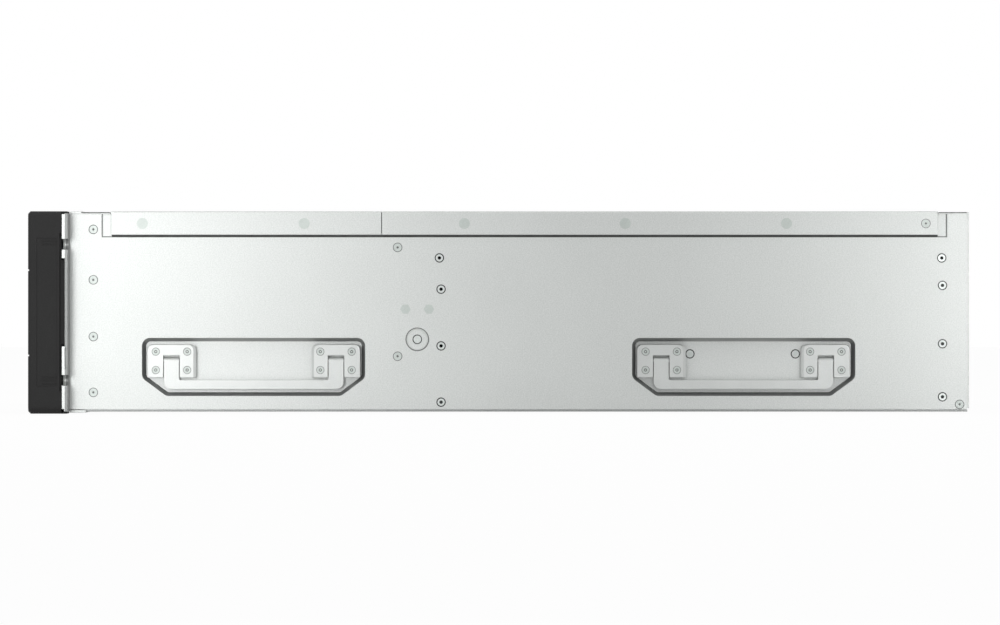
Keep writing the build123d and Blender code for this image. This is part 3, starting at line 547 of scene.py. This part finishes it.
def softenEdges(node, width):
    # Joins the flats, rounds the edges between them and shades the whole evenly
    node.modifiers.new("join", "WELD").merge_threshold = 0.005 * mm
    flats = node.modifiers.new("flats", "DECIMATE")
    flats.decimate_type = "DISSOLVE"
    flats.angle_limit = math.radians(1)
    roundEdges(node, width, 40)
    node.modifiers.new("shade", "WEIGHTED_NORMAL").keep_sharp = True


def byStart(name, table):
    return next((value for start, value in table.items() if name.startswith(start)), None)


for name, node in nodes.items():
    node.data.materials.clear()
    node.data.materials.append(finish[byStart(name, nodeFinish)])
    width = byStart(name, edgeWidths)
    if width:
        softenEdges(node, width)
print("finishes and soft edges given to the nodes")


# Fasteners in the sides, as the right side shows them and the same on the left

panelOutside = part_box("side_panel_right")[1].x
flatAngle = 20  # keeps small heads flat
headShape = {"lip": 0.02, "land": 0.2, "drop": 0.12}
flatScrew = {
    "radius": 2.7, "socket": 0.85, "sunk": -0.9, "foot": -1.0, "proud": 0.05, "edge": 0.15,
    "ring": 3.1, "ringProud": 0.04, "well": 0.77, "wellFloor": 0.02, "coverMark": (587.7, 124.6),
    "marks": [
        (41.6, 13.8), (41.6, 50.4), (41.6, 87.6), (41.6, 120.7), (241.2, 37.5), (241.2, 108.9), (609.8, 5.9),
    ],
}
insertRing = {
    "outer": 3.1, "collar": 2.4, "bore": 1.15, "end": 1.13, "proud": 0.05, "collarProud": 0.12,
    "collarFoot": -0.6, "boreFloor": -0.9, "plugProud": 0.04,
    "open": [(268.6, 102.0), (598.1, 102.0), (269.7, 81.5), (269.7, 44.3)],
    "filled": [(269.7, 7.4), (598.6, 84.0), (598.6, 45.7), (598.6, 10.9)],
}
rivetMark = {
    "radius": 3.6, "proud": 0.06, "height": 124.6, "front": [73.8, 179.9], "rear": [285.0, 390.5, 496.3],
}
pressNut = {"radius": 3.4, "proud": 0.05, "marks": [(246.3, 68.4), (261.7, 68.4)]}
bossRing = {
    "mark": (254.1, 48.6), "groove": (6.75, 7.75), "gap": (2.5, 3.15), "proud": 0.05,
    "rim": 6.75, "rimWire": 0.42, "screw": 2.5, "screwProud": 0.15,
}


def screwLoops(size):
    # A socket with six flats, a land around it and a lowered edge
    radius, socket, proud, shape = size["radius"], size["socket"], size["proud"], headShape
    return [
        (0, size["sunk"]), (socket, size["sunk"], hexAt), (socket, proud - shape["lip"], hexAt),
        (socket + shape["land"], proud), (radius - size["edge"], proud), (radius, proud - shape["drop"]),
        (radius, size["foot"]), (0, size["foot"]),
    ]


def screwPart(name, places, loops, body, look="ringSteel", count=24):
    return turnedPiece(name, places, loops, body, look, count, flatAngle)


def addScrewSet(name, places, body):
    size = flatScrew
    heads = screwPart(f"{name}_heads", places, screwLoops(size), body, "headSteel")
    # The rings and socket discs are painted shade: the groove round each head and its socket
    screwPart(f"{name}_rings", places, ringLoops(size["radius"], size["ring"], size["ringProud"]), body)
    screwPart(f"{name}_sockets", places, discLoops(size["well"], size["wellFloor"], hexAt), body)
    return heads


def addInserts(name, places, endLook):
    size = insertRing
    endHeight = size["boreFloor"] if endLook == "boreBlack" else size["plugProud"]
    # Painted shade: the dark outer ring in the gap round each insert, and the black bottom down each open
    # bore
    parts = {
        "rings": (ringLoops(size["collar"], size["outer"], size["proud"]), "darkRing"),
        "collars": (
            ringLoops(size["bore"], size["collar"], size["collarProud"], size["collarFoot"]), "screwSteel",
        ),
        "bottoms": (discLoops(size["end"], endHeight), endLook),
    }
    for part, (loops, look) in parts.items():
        turnedPiece(f"{name}_{part}", places, loops, "chassis", look)


def addSideFasteners():
    screws = addScrewSet("flat_screw", sidePlaces(flatScrew["marks"], panelOutside), "chassis")
    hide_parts("panel_screws")
    addScrewSet("cover_screw", sidePlaces([flatScrew["coverMark"]], panelOutside), "rear_cover")
    addInserts("open_insert", sidePlaces(insertRing["open"], panelOutside), "boreBlack")
    addInserts("filled_insert", sidePlaces(insertRing["filled"], panelOutside), "darkRing")
    loops = discLoops(rivetMark["radius"], rivetMark["proud"])
    for name, body in (("front", "chassis"), ("rear", "rear_cover")):
        places = sidePlaces([(depth, rivetMark["height"]) for depth in rivetMark[name]], panelOutside)
        turnedPiece(f"{name}_cover_rivets", places, loops, body, "rivetSteel", 32)
    places = sidePlaces(pressNut["marks"], panelOutside)
    loops = discLoops(pressNut["radius"], pressNut["proud"], pointedHexAt)
    turnedPiece("press_nuts", places, loops, "chassis", "rivetSteel")
    boss = bossRing
    places = sidePlaces([boss["mark"]], panelOutside)
    # Painted shade: the groove and gap rings round the boss; the rim is raised wire
    for label, look in (("groove", "ringSteel"), ("gap", "darkRing")):
        screwPart(f"boss_{label}", places, ringLoops(*boss[label], boss["proud"]), "chassis", look, 40)
    bm = bmesh.new()
    for place in places:
        addHoop(bm, place, boss["rim"], boss["rimWire"], 0.0, 40)
    finishPiece("boss_rims", bm, "chassis", "sheetSteel")
    loops = discLoops(boss["screw"], boss["screwProud"])
    turnedPiece("boss_screws", places, loops, "chassis", "screwSteel", 32)
    print("side fasteners placed")


# Measures of the strips that paint shade in the gaps and corners of the cover recess
skirtShadeStrip = {"gap": 1.7, "clear": 0.06, "recess": 1.5, "thick": 0.7, "front": 53.5, "rearMargin": 0.3}
seamShadeStrip = {"width": 2.6, "thick": 0.22, "shorter": 2.0}
stepShadeStrip = {"width": 0.75, "thick": 0.12, "front": 47.5, "rear": 601.2, "top": 131.0}
deckGapShade = {
    "width": 0.55, "thick": 0.3, "deep": 0.5, "belowCover": 0.95,
    "spans": [(33.7, 46.9, 0), (46.9, 52.6, 1), (596.3, 601.9, 1), (601.9, 614.5, 0)],
}


def addSkirtShadeStrips():
    # Painted shade: black strips, one in the gap under each skirt, one behind the seam where the two covers
    # meet
    coverLow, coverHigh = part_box("rear_cover")
    seam = (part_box("front_cover")[1].y + coverLow.y) / 2
    floor = panelOutside - skirtShadeStrip["recess"] * mm
    length = (coverHigh.y - atDepth(skirtShadeStrip["front"])) / mm - skirtShadeStrip["rearMargin"]
    middle = (coverHigh.y + atDepth(skirtShadeStrip["front"])) / 2
    gap = skirtShadeStrip["gap"]
    tall = (coverHigh.z - coverLow.z) / mm - seamShadeStrip["shorter"]
    shapes = []
    for side in (1, -1):
        strip = sidePlace(side, middle, coverLow.z - gap * mm / 2, floor)
        shapes.append((strip, rectangle(length, gap - 2 * skirtShadeStrip["clear"]), 0.0, skirtShadeStrip["thick"]))
        behind = sidePlace(side, seam, (coverLow.z + coverHigh.z) / 2, floor)
        shapes.append((behind, rectangle(seamShadeStrip["width"], tall), 0.0, seamShadeStrip["thick"]))
    prismPiece("skirt_seals", shapes, "chassis", "sealBlack")
    print("skirt shade strips made")


def addStepShadeStrips():
    # Painted shade: dark grey strips in the corner of the recess at both of its ends
    coverLow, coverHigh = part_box("rear_cover")
    floor = panelOutside - skirtShadeStrip["recess"] * mm
    foot = coverLow.z / mm - skirtShadeStrip["gap"]
    width = stepShadeStrip["width"]
    ends = (
        (stepShadeStrip["front"], stepShadeStrip["front"], skirtShadeStrip["front"]),
        (stepShadeStrip["rear"], (coverHigh.y - cadLow.y) / mm - skirtShadeStrip["rearMargin"], stepShadeStrip["rear"]),
    )
    shapes = []
    for side in (1, -1):
        for upright, start, stop in ends:
            place = sidePlace(side, atDepth(upright), (foot + stepShadeStrip["top"]) / 2 * mm, floor)
            shapes.append((place, rectangle(width, stepShadeStrip["top"] - foot), 0.0, stepShadeStrip["thick"]))
            place = sidePlace(side, atDepth((start + stop) / 2), (foot + width / 2) * mm, floor)
            shapes.append((place, rectangle(stop - start, width), 0.0, stepShadeStrip["thick"]))
    prismPiece("step_beads", shapes, "chassis", "edgeSteel")


def addDeckGapShade():
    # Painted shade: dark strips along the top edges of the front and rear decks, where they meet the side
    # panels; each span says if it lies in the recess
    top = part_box("rear_cover")[1].z - deckGapShade["belowCover"] * mm
    shapes = []
    for side in (1, -1):
        for start, stop, sunk in deckGapShade["spans"]:
            place = sidePlace(side, atDepth((start + stop) / 2), top, panelOutside)
            low = -deckGapShade["deep"] - sunk * skirtShadeStrip["recess"]
            shapes.append((place, rectangle(stop - start, deckGapShade["width"]), low, deckGapShade["thick"]))
    prismPiece("deck_gaps", shapes, "chassis", "sealBlack")


addSideFasteners()
addSkirtShadeStrips()
addStepShadeStrips()
addDeckGapShade()


# Brackets that the lift handles hang in

handleLow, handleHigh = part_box("lift_handle_front_right")
bracketLow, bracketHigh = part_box("handle_brackets")
bracketSize = {
    "length": 32.1, "thickness": 6.3, "topRound": 3.6, "edge": 0.3, "bevel": 1.7, "bevelDrop": 0.75,
    "notch": 10.9, "notchOverPin": 3.6, "arm": 9.9, "pin": 1.2, "pinReach": 4.0,
    "screwAlong": 10.3, "screwRows": (4.75, 16.8),
}
bracketScrew = {
    "radius": 2.35, "socket": 1.15, "sunk": 0.02, "foot": -0.1, "proud": 0.16, "edge": 0.2,
    "ring": 2.65, "ringProud": 0.02, "well": (0.5, 1.09), "wellProud": 0.06,
}
pocketMarks = [(433.2, 39.0), (502.5, 39.0)]  # two ringed fasteners on the floor of the rear pocket
handleBoxes = [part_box(f"lift_handle_{end}_right") for end in ("front", "rear")]
pocketMiddles = [(low.y + high.y) / 2 for low, high in handleBoxes]
pocketFloor = bracketHigh.x - bracketSize["thickness"] * mm
pinHeight = (bracketHigh.z - bracketLow.z) / 2
pinDepth = (handleLow.x + handleHigh.x) / 2 - pocketFloor


def bracketPlaces():
    # Each bracket's place, and which way along its local x the pocket's middle lies
    reach = (handleHigh.y - handleLow.y) / 2 - bracketSize["arm"] * mm / 2
    for side in (1, -1):
        for middle in pocketMiddles:
            for end in (-1, 1):
                yield sidePlace(side, middle + end * reach, bracketLow.z, pocketFloor), -end * side


def bracketOutline(towards, inset=0.0, bevel=0.0):
    # An upside-down U; the inset draws every side in and the bevel only the side towards the middle
    size = bracketSize
    notch = size["notch"] / 2
    notchTop = pinHeight / mm + size["notchOverPin"]
    right = size["length"] / 2 - (bevel if towards > 0 else inset)
    left = -size["length"] / 2 + (bevel if towards < 0 else inset)
    crown = (bracketHigh.z - bracketLow.z) / mm - inset
    radius = size["topRound"]
    return (
        [(left, 0.0), (-notch, 0.0), (-notch, notchTop), (notch, notchTop), (notch, 0.0), (right, 0.0)]
        + arcPoints(right - radius, crown - radius, radius, 0, 90)
        + arcPoints(left + radius, crown - radius, radius, 90, 180)
    )


def addBrackets():
    size, screw = bracketSize, bracketScrew
    thick = size["thickness"]
    pinStart = -(size["notch"] / 2 + size["pinReach"]) * mm
    pinTurn = Matrix.Translation((pinStart, pinHeight, pinDepth)) @ Matrix.Rotation(math.radians(90), 4, "Y")
    pinLoops = latheLoops(size["pin"], [(0, 0), (0, size["notch"] + 2 * size["pinReach"])])
    bm = bmesh.new()
    places = []
    for place, towards in bracketPlaces():
        addStack(bm, place, [
            (bracketOutline(towards), 0.0),
            (bracketOutline(towards), thick - size["bevelDrop"]),
            (bracketOutline(towards, size["edge"], size["bevel"]), thick),
        ])
        for across in (-size["screwAlong"], size["screwAlong"]):
            for row in size["screwRows"]:
                places.append(place @ Matrix.Translation((across * mm, row * mm, thick * mm)))
        addTurned(bm, place @ pinTurn, pinLoops)
    brackets = finishPiece("bevelled_brackets", bm, "chassis", "castZinc", 0.0, flatAngle)
    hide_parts("handle_brackets")
    # Painted shade: grey rings round the screw heads and in their sockets
    rings = ringLoops(screw["radius"], screw["ring"], screw["ringProud"])
    screwPart("bracket_screws", places, screwLoops(screw), "chassis", "headSteel")
    screwPart("bracket_screw_rings", places, rings, "chassis")
    screwPart("bracket_screw_sockets", places, ringLoops(*screw["well"], screw["wellProud"]), "chassis")
    addInserts("pocket_insert", sidePlaces(pocketMarks, pocketFloor), "headSteel")
    print("brackets and their screws made")


addBrackets()


# Drive trays, their levers and the power button

trayLamp = {
    "fromRight": 3.6, "radius": 1.25, "dome": [(0.0, 0.45), (0.6, 0.36), (0.92, 0.12)], "foot": -0.3,
    "lamps": {"busy_lenses": (4.0, "lampGreen"), "fault_lenses": (-4.0, "lampAmber")},
}
lensLook = {"scale": 900, "dark": 0.8, "light": 1.15, "rough": 0.12, "coat": 0.6, "bump": (0.1, 0.02)}
leverGrip = {
    "fromRight": 4.0, "pitch": 2.4, "ribs": 4, "width": 1.1, "margin": 5.0, "foot": -0.2, "proud": 0.5,
    "bevel": 0.2,
}
leverLatch = {
    "fromRight": 19.5, "width": 8.0, "height": 9.0, "round": 1.6, "foot": -0.2, "proud": 0.7,
    "bevel": 0.3, "inset": 0.4,
}
buttonMark = {"arc": 2.1, "line": 0.5, "gap": 42, "barTop": 2.7, "barFoot": 0.5, "foot": -0.1, "proud": 0.12}
capGrip = {
    "depth": 14.9, "length": 11.6, "width": 0.5, "foot": -0.1, "thick": 0.37, "sunk": 0.4, "bevel": 0.12,
    "heights": (115.0, 112.9, 110.8, 23.8, 21.7, 19.6),
}


def lampMaterial(name, tone):
    # A clear tinted lens whose tone varies a little at random
    material, tree, shader, place = startMaterial(name)
    cloud = addNoise(tree, place, lensLook["scale"]).outputs["Fac"]
    dark, light = (Vector(tone) * lensLook[part] for part in ("dark", "light"))
    colour = addRamp(tree, cloud, 0.3, 0.7, dark, light)
    setSockets(tree, shader, {
        "Base Color": colour, "Roughness": lensLook["rough"], "Coat Weight": lensLook["coat"],
    })
    addBump(tree, shader, cloud, *lensLook["bump"])
    return material


finish["lampGreen"] = lampMaterial("lampGreen", (0.05, 0.32, 0.10))
finish["lampAmber"] = lampMaterial("lampAmber", (0.45, 0.20, 0.03))


def addTrayDetails(name):
    low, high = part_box(name)
    middle = (low.z + high.z) / 2
    label = name.replace("tray_", "")
    size = trayLamp
    loops = [(size["radius"] * share, rise) for share, rise in size["dome"]]
    loops += [(size["radius"], size["foot"]), (0, size["foot"])]
    for piece, (rise, look) in size["lamps"].items():
        place = frontPlace(high.x - size["fromRight"] * mm, low.y, middle + rise * mm)
        turnedPiece(f"{piece}_{label}", [place], loops, name, look, 16)


def addLeverDetails(name):
    low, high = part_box(name)
    middle = (low.z + high.z) / 2
    grip, latch = leverGrip, leverLatch
    rib = rectangle(grip["width"], (high.z - low.z) / mm - 2 * grip["margin"])
    shapes = []
    for index in range(grip["ribs"]):
        x = high.x - (grip["fromRight"] + index * grip["pitch"]) * mm
        shapes.append((frontPlace(x, low.y, middle), rib, grip["foot"], grip["proud"]))
    label = name.replace("tray_lever_", "")
    prismPiece(f"lever_ribs_{label}", shapes, name, "leverPlastic", grip["bevel"])
    place = frontPlace(high.x - latch["fromRight"] * mm, low.y, middle)
    width, height, corner = latch["width"], latch["height"], latch["round"]
    narrower = 2 * latch["inset"]
    outline = roundedRectangle(width, height, corner)
    smaller = roundedRectangle(width - narrower, height - narrower, corner - latch["bevel"])
    shoulder = latch["proud"] - latch["bevel"]
    bm = bmesh.new()
    addStack(bm, place, [(outline, latch["foot"]), (outline, shoulder), (smaller, latch["proud"])])
    finishPiece(f"lever_latch_{label}", bm, name, "latchBlue")


def addPowerMark():
    # An open ring with a bar through its gap, printed on the button
    low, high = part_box("power_button")
    size = buttonMark
    place = frontPlace((low.x + high.x) / 2, low.y, (low.z + high.z) / 2)
    start, end = 90 + size["gap"], 450 - size["gap"]
    outer = arcPoints(0, 0, size["arc"] + size["line"] / 2, start, end, 24)
    inner = arcPoints(0, 0, size["arc"] - size["line"] / 2, end, start, 24)
    bar = rectangle(size["line"], size["barTop"] - size["barFoot"], 0, (size["barTop"] + size["barFoot"]) / 2)
    shapes = [(place, outline, size["foot"], size["proud"]) for outline in (outer + inner, bar)]
    prismPiece("power_mark", shapes, "power_button", "screwSteel")


def addCapGrips():
    # Low ribs at both ends of the grip panel of each cap
    size = capGrip
    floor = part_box("ear_caps")[1].x - size["sunk"] * mm
    rib = rectangle(size["length"], size["width"])
    shapes = [
        (place, rib, size["foot"], size["thick"])
        for place in sidePlaces([(size["depth"], height) for height in size["heights"]], floor)
    ]
    prismPiece("cap_grip_ribs", shapes, "chassis", "capPlastic", size["bevel"])


for name in list(nodes):
    if name.startswith("tray_lever"):
        addLeverDetails(name)
    elif name.startswith("tray_"):
        addTrayDetails(name)
addPowerMark()
addCapGrips()
print("tray, lever, button and cap details made")


# Rear: supplies, socket contacts and plate screws

supplyHandle = 14.0
supplyFan = {
    "fromRight": 19.0, "radius": 15.5, "mouth": [(0.0, -0.1), (-0.6, 0.5), (0.0, 0.5), (0.5, 0.06)],
    "hub": 4.0, "hubCap": 4.3, "hubProud": 0.7, "blades": 7, "bladeTip": 14.5, "bladeTurn": (0, 34),
    "rootTurn": (40, 10), "bladeSpan": (0.04, 0.45),
}
supplyGrille = {
    "wire": 0.55, "hoops": (4.5, 8.0, 11.5, 15.0), "height": 1.5, "spokes": (45, 135), "spoke": (35.0, 1.1),
    "spokeSpan": (0.7, 1.3),
}
supplyInlet = {
    "over": 1.0, "liner": 0.8, "depth": 15.4, "lip": 0.5, "back": 0.5, "backClear": 0.1,
    "pin": (2.0, 4.2), "pinLength": 12.0, "pinBevel": 0.3, "pins": [(-7.0, -1.8), (0, 2.2), (7.0, -1.8)],
}
supplyLamp = {"fromInlet": 5.0, "fromTop": 5.0, "radius": 1.3, "proud": 0.4}
socketParts = {
    "fromRear": 12.0, "tongue": (0.72, 0.26), "tongueRise": 0.18, "tongueLong": 8.5, "bevel": 0.2,
    "leastBlades": 4, "pitch": 1.8, "row": 0.66, "blade": (0.3, 0.35), "bladeRise": 0.03,
    "bladeSpan": (0.3, 8.0),
}
rearScrews = {
    "behind": 1.4, "left": 6.0, "leftHeights": (7.2, 95, 124), "right": 7.0, "rightHeights": (10, 62, 124),
    "middle": [(-60, 124), (60, 124), (-55, 10), (70, 10)],
}


def addSupplyFan(level, name, place):
    fan, grille = supplyFan, supplyGrille
    loops = latheLoops(fan["radius"], fan["mouth"])[1:]  # its back stays open
    # Painted shade: the near black disc across the mouth stands for the open fan opening behind the blades
    turnedPiece(f"supply_fan_mouth_{level}", [place], loops, name, "boreBlack", 40)
    blade = arcPoints(0, 0, fan["bladeTip"], *fan["bladeTurn"], 6)
    blade += arcPoints(0, 0, fan["hub"], *fan["rootTurn"], 2)
    bm = bmesh.new()
    for index in range(fan["blades"]):
        turn = place @ Matrix.Rotation(2 * math.pi * index / fan["blades"], 4, "Z")
        addPrism(bm, turn, blade, *fan["bladeSpan"])
    addTurned(bm, place, discLoops(fan["hubCap"], fan["hubProud"]))
    finishPiece(f"supply_fan_{level}", bm, name, "fanPlastic")
    bm = bmesh.new()
    for radius in grille["hoops"]:
        addHoop(bm, place, radius, grille["wire"], grille["height"])
    for turn in grille["spokes"]:
        spoke = place @ Matrix.Rotation(math.radians(turn), 4, "Z")
        addPrism(bm, spoke, rectangle(*grille["spoke"]), *grille["spokeSpan"])
    finishPiece(f"supply_grille_{level}", bm, name, "wireSteel")


def addSupplyInlet(level, name, face):
    # A lined mouth with three pins; gives the x of its side, where the lamp stands
    inlet = supplyInlet
    found = next(one for one in record["physics"]["openings"] if one["name"] == f"inlet_{level}")
    low, high = (Vector(corner) for corner in found["box_m"])
    width = (high.x - low.x) / mm + inlet["over"]
    tall = (high.z - low.z) / mm + inlet["over"]
    place = rearPlace((low.x + high.x) / 2, face, (low.z + high.z) / 2)
    depth = inlet["depth"]
    shapes = [(place, bar, -depth, inlet["lip"]) for bar in frameBars(width, tall, inlet["liner"])]
    back = rectangle(width - inlet["backClear"], tall - inlet["backClear"])
    shapes.append((place, back, -depth - inlet["back"], -depth))
    prismPiece(f"inlet_liner_{level}", shapes, name, "socketPlastic")
    end = inlet["pinLength"] - depth
    pins = [(place, rectangle(*inlet["pin"], x, y), -depth, end) for x, y in inlet["pins"]]
    prismPiece(f"inlet_pins_{level}", pins, name, "canAluminium", inlet["pinBevel"])
    return high.x


def addSupplyDetails(level):
    name = f"power_supply_{level}"
    low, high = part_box(name)
    face = high.y - supplyHandle * mm
    fanPlace = rearPlace(high.x - supplyFan["fromRight"] * mm, face, (low.z + high.z) / 2)
    addSupplyFan(level, name, fanPlace)
    inletSide = addSupplyInlet(level, name, face)
    lamp = supplyLamp
    lampPlace = rearPlace(inletSide + lamp["fromInlet"] * mm, face, high.z - lamp["fromTop"] * mm)
    loops = discLoops(lamp["radius"], lamp["proud"])
    turnedPiece(f"supply_lamp_{level}", [lampPlace], loops, name, "lampGreen", 16)


def addSocketContacts():
    # A tongue and a row of gold blades inside each socket in the rear shield, as shares of its mouth
    size = socketParts
    tongues, blades = [], []
    for opening in record["physics"]["openings"]:
        if not opening["name"].startswith("socket"):
            continue
        low, high = (Vector(corner) for corner in opening["box_m"])
        width = (high.x - low.x) / mm
        tall = (high.z - low.z) / mm
        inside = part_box("motherboard")[1].y - size["fromRear"] * mm
        place = rearPlace((low.x + high.x) / 2, inside, (low.z + high.z) / 2)
        wide, thick = size["tongue"]
        tongue = rectangle(width * wide, tall * thick, 0, tall * size["tongueRise"])
        tongues.append((place, tongue, 0.0, size["tongueLong"]))
        count = max(size["leastBlades"], int(width / size["pitch"]))
        wide, thick = size["blade"]
        for index in range(count):
            x = (index - (count - 1) / 2) * width * size["row"] / count
            blade = rectangle(width * wide / count, thick, x, tall * size["bladeRise"])
            blades.append((place, blade, *size["bladeSpan"]))
    prismPiece("socket_tongues", tongues, "chassis", "socketPlastic", size["bevel"])
    prismPiece("socket_blades", blades, "chassis", "contactGold")


def addRearScrews():
    low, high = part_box("rear_panel")
    size = rearScrews
    marks = [(low.x / mm + size["left"], height) for height in size["leftHeights"]]
    marks += [(high.x / mm - size["right"], height) for height in size["rightHeights"]]
    face = high.y - size["behind"] * mm
    places = [rearPlace(x * mm, face, height * mm) for x, height in marks + size["middle"]]
    addScrewSet("rear_plate_screw", places, "chassis")


for level in ("lower", "upper"):
    addSupplyDetails(level)
addSocketContacts()
addRearScrews()
print("rear details made")


# Inside: parts of the board that show when the rear cover is off

boardLow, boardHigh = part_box("motherboard")
boardTop = boardLow.z + boardSizes["thickness"]
capacitors = {
    "radius": 3.2, "rows": [(57.0, 28.0, 9), (152.0, 66.0, 5), (60.0, 158.0, 9)], "pitch": 8.6,
    "profile": [(0, 0), (0, 0.8), (0.3, 1.2), (0, 1.6), (0, 8.5), (0.4, 9.0), (0.9, 8.85)],
}
chips = {
    "foot": 0.1, "height": 1.6, "bevel": 0.25,
    "marks": [
        (190, 40, 22, 22), (158, 100, 14, 14), (245, 60, 10, 16), (270, 150, 18, 12), (256, 180, 12, 12),
        (255, 205, 16, 10), (62, 180, 8, 8), (285, 95, 9, 20), (128, 212, 14, 9),
    ],
}
headers = {
    "wall": 1.0, "filled": 1.9, "floor": 0.25, "bevel": 0.2,
    "marks": [(20, 16, 52, 9, 10), (210, 12, 30, 7, 9), (250, 12, 30, 7, 9), (130, 12, 18, 9, 11)],
}
smallSink = {
    "fromRight": 215.0, "fromFront": 95.0, "size": 30.0, "base": 3.0, "height": 12.0, "fins": 8, "fin": 1.2,
    "chip": 14.0, "chipHeight": 1.6, "overlap": 0.1, "bevel": 0.15,
}
coinCell = {
    "fromRight": 160.0, "fromFront": 195.0, "radius": 10.0, "profile": [(0, 0), (0, 3.1), (0.7, 3.6)],
}


def boardPlace(fromRight, fromFront):
    return Matrix.Translation((boardHigh.x - fromRight * mm, boardLow.y + fromFront * mm, boardTop))


def addHeaders():
    # Open boxes with a low floor, for plugs
    shapes = []
    for fromRight, fromFront, width, length, tall in headers["marks"]:
        place = boardPlace(fromRight + width / 2, fromFront)
        shapes += [(place, bar, 0, tall) for bar in frameBars(width, length, headers["wall"])]
        floor = rectangle(width - headers["filled"], length - headers["filled"])
        shapes.append((place, floor, 0, tall * headers["floor"]))
    prismPiece("board_headers", shapes, "chassis", "socketPlastic", headers["bevel"])


def addSmallSink():
    sink = smallSink
    place = boardPlace(sink["fromRight"], sink["fromFront"])
    foot, overlap = sink["chipHeight"], sink["overlap"]
    shapes = [(place, rectangle(sink["size"], sink["size"]), foot, foot + sink["base"])]
    pitch = (sink["size"] - sink["fin"]) / (sink["fins"] - 1)
    for index in range(sink["fins"]):
        x = -sink["size"] / 2 + sink["fin"] / 2 + index * pitch
        fin = rectangle(sink["fin"], sink["size"], x, 0)
        shapes.append((place, fin, foot - overlap + sink["base"], sink["height"]))
    shapes.append((place, rectangle(sink["chip"], sink["chip"]), 0, foot + overlap))
    prismPiece("board_small_sink", shapes, "chassis", "canAluminium", sink["bevel"])


def addBoardParts():
    cans = []
    for fromRight, fromFront, count in capacitors["rows"]:
        cans += [boardPlace(fromRight + index * capacitors["pitch"], fromFront) for index in range(count)]
    loops = latheLoops(capacitors["radius"], capacitors["profile"])
    turnedPiece("board_capacitors", cans, loops, "chassis", "canAluminium")
    shapes = [
        (boardPlace(x + width / 2, y), rectangle(width, length), chips["foot"], chips["height"])
        for x, y, width, length in chips["marks"]
    ]
    prismPiece("board_chips", shapes, "chassis", "chipBlack", chips["bevel"])
    addHeaders()
    addSmallSink()
    places = [boardPlace(coinCell["fromRight"], coinCell["fromFront"])]
    loops = latheLoops(coinCell["radius"], coinCell["profile"])
    turnedPiece("board_cell", places, loops, "chassis", "wireSteel", 36)
    print("board parts made")


addBoardParts()


# Stage, lamps and camera

cameraView = {
    "lens": 236, "sensor": 36, "far": 100, "distance": 4.3, "aimY": -0.0004, "aimZ": 0.0662,
}
lampSet = {
    "front": {"at": (1.7, -0.55, 0.15), "aim": (0.22, -0.36, 0.1), "size": 0.4, "spread": 32, "power": 0.435},
    "rear": {"at": (1.7, 0.65, 0.15), "aim": (0.22, 0.5, 0.1), "size": 0.4, "spread": 24, "power": 0.305},
    "top": {"at": (0.6, 0, 2.2), "aim": (0, 0, 0.1), "size": 2.0, "spread": 180, "power": 16},
}
stageLook = {
    "size": 16, "drop": -0.0002, "floor": (0.8, 0.8, 0.8), "rough": 0.9, "cameraShare": 0.96, "sky": 0.58,
}


def seenDirectly(tree):
    # 1 for rays that show the stage in the picture, 0 for the light that falls on the object
    path = tree.nodes.new("ShaderNodeLightPath").outputs
    camera = calculate(tree, "MAXIMUM", path["Is Camera Ray"], path["Is Glossy Ray"])
    return calculate(tree, "MAXIMUM", camera, path["Is Transmission Ray"])


def makeStage():
    bm = bmesh.new()
    outline = rectangle(stageLook["size"], stageLook["size"])
    bm.faces.new([bm.verts.new((x, y, stageLook["drop"])) for x, y in outline])
    floor = linkMesh("floor", bm)
    material, tree, shader, _ = startMaterial("floorPale")
    setSockets(tree, shader, {"Base Color": (*stageLook["floor"], 1), "Roughness": stageLook["rough"]})
    share = calculate(tree, "MULTIPLY", seenDirectly(tree), stageLook["cameraShare"])
    white = newNode(tree, "Emission", {"Strength": 1.0})
    mix = newNode(tree, "MixShader", {
        "Fac": share, 1: shader.outputs["BSDF"], 2: white.outputs["Emission"],
    })
    setSockets(tree, tree.nodes["Material Output"], {"Surface": mix.outputs["Shader"]})
    floor.data.materials.append(material)


def makeWorld():
    world = bpy.data.worlds.new("studio")
    world.use_nodes = True
    tree = world.node_tree
    span = {"To Min": stageLook["sky"], "To Max": 1.0, "Value": seenDirectly(tree)}
    level = newNode(tree, "MapRange", span).outputs["Result"]
    setSockets(tree, tree.nodes["Background"], {"Color": (1, 1, 1, 1), "Strength": level})
    bpy.context.scene.world = world


def makeLamps():
    for name, lamp in lampSet.items():
        light = bpy.data.lights.new(name, "AREA")
        light.size = lamp["size"]
        light.spread = math.radians(lamp["spread"])
        light.energy = lamp["power"]
        holder = bpy.data.objects.new(name, light)
        bpy.context.scene.collection.objects.link(holder)
        holder.visible_camera = False
        holder.location = lamp["at"]
        aim = Vector(lamp["aim"]) - Vector(lamp["at"])
        holder.rotation_euler = aim.to_track_quat("-Z", "Y").to_euler()


def makeCamera():
    lens = bpy.data.cameras.new("camera")
    lens.lens = cameraView["lens"]
    lens.sensor_width = cameraView["sensor"]
    lens.clip_end = cameraView["far"]
    camera = bpy.data.objects.new("camera", lens)
    bpy.context.scene.collection.objects.link(camera)
    camera.location = (panelOutside + cameraView["distance"], cameraView["aimY"], cameraView["aimZ"])
    camera.rotation_euler = (math.radians(90), 0, math.radians(90))
    bpy.context.scene.camera = camera


makeStage()
makeWorld()
makeLamps()
makeCamera()
bpy.context.scene.view_settings.view_transform = "Standard"
print("stage, lamps and camera set")
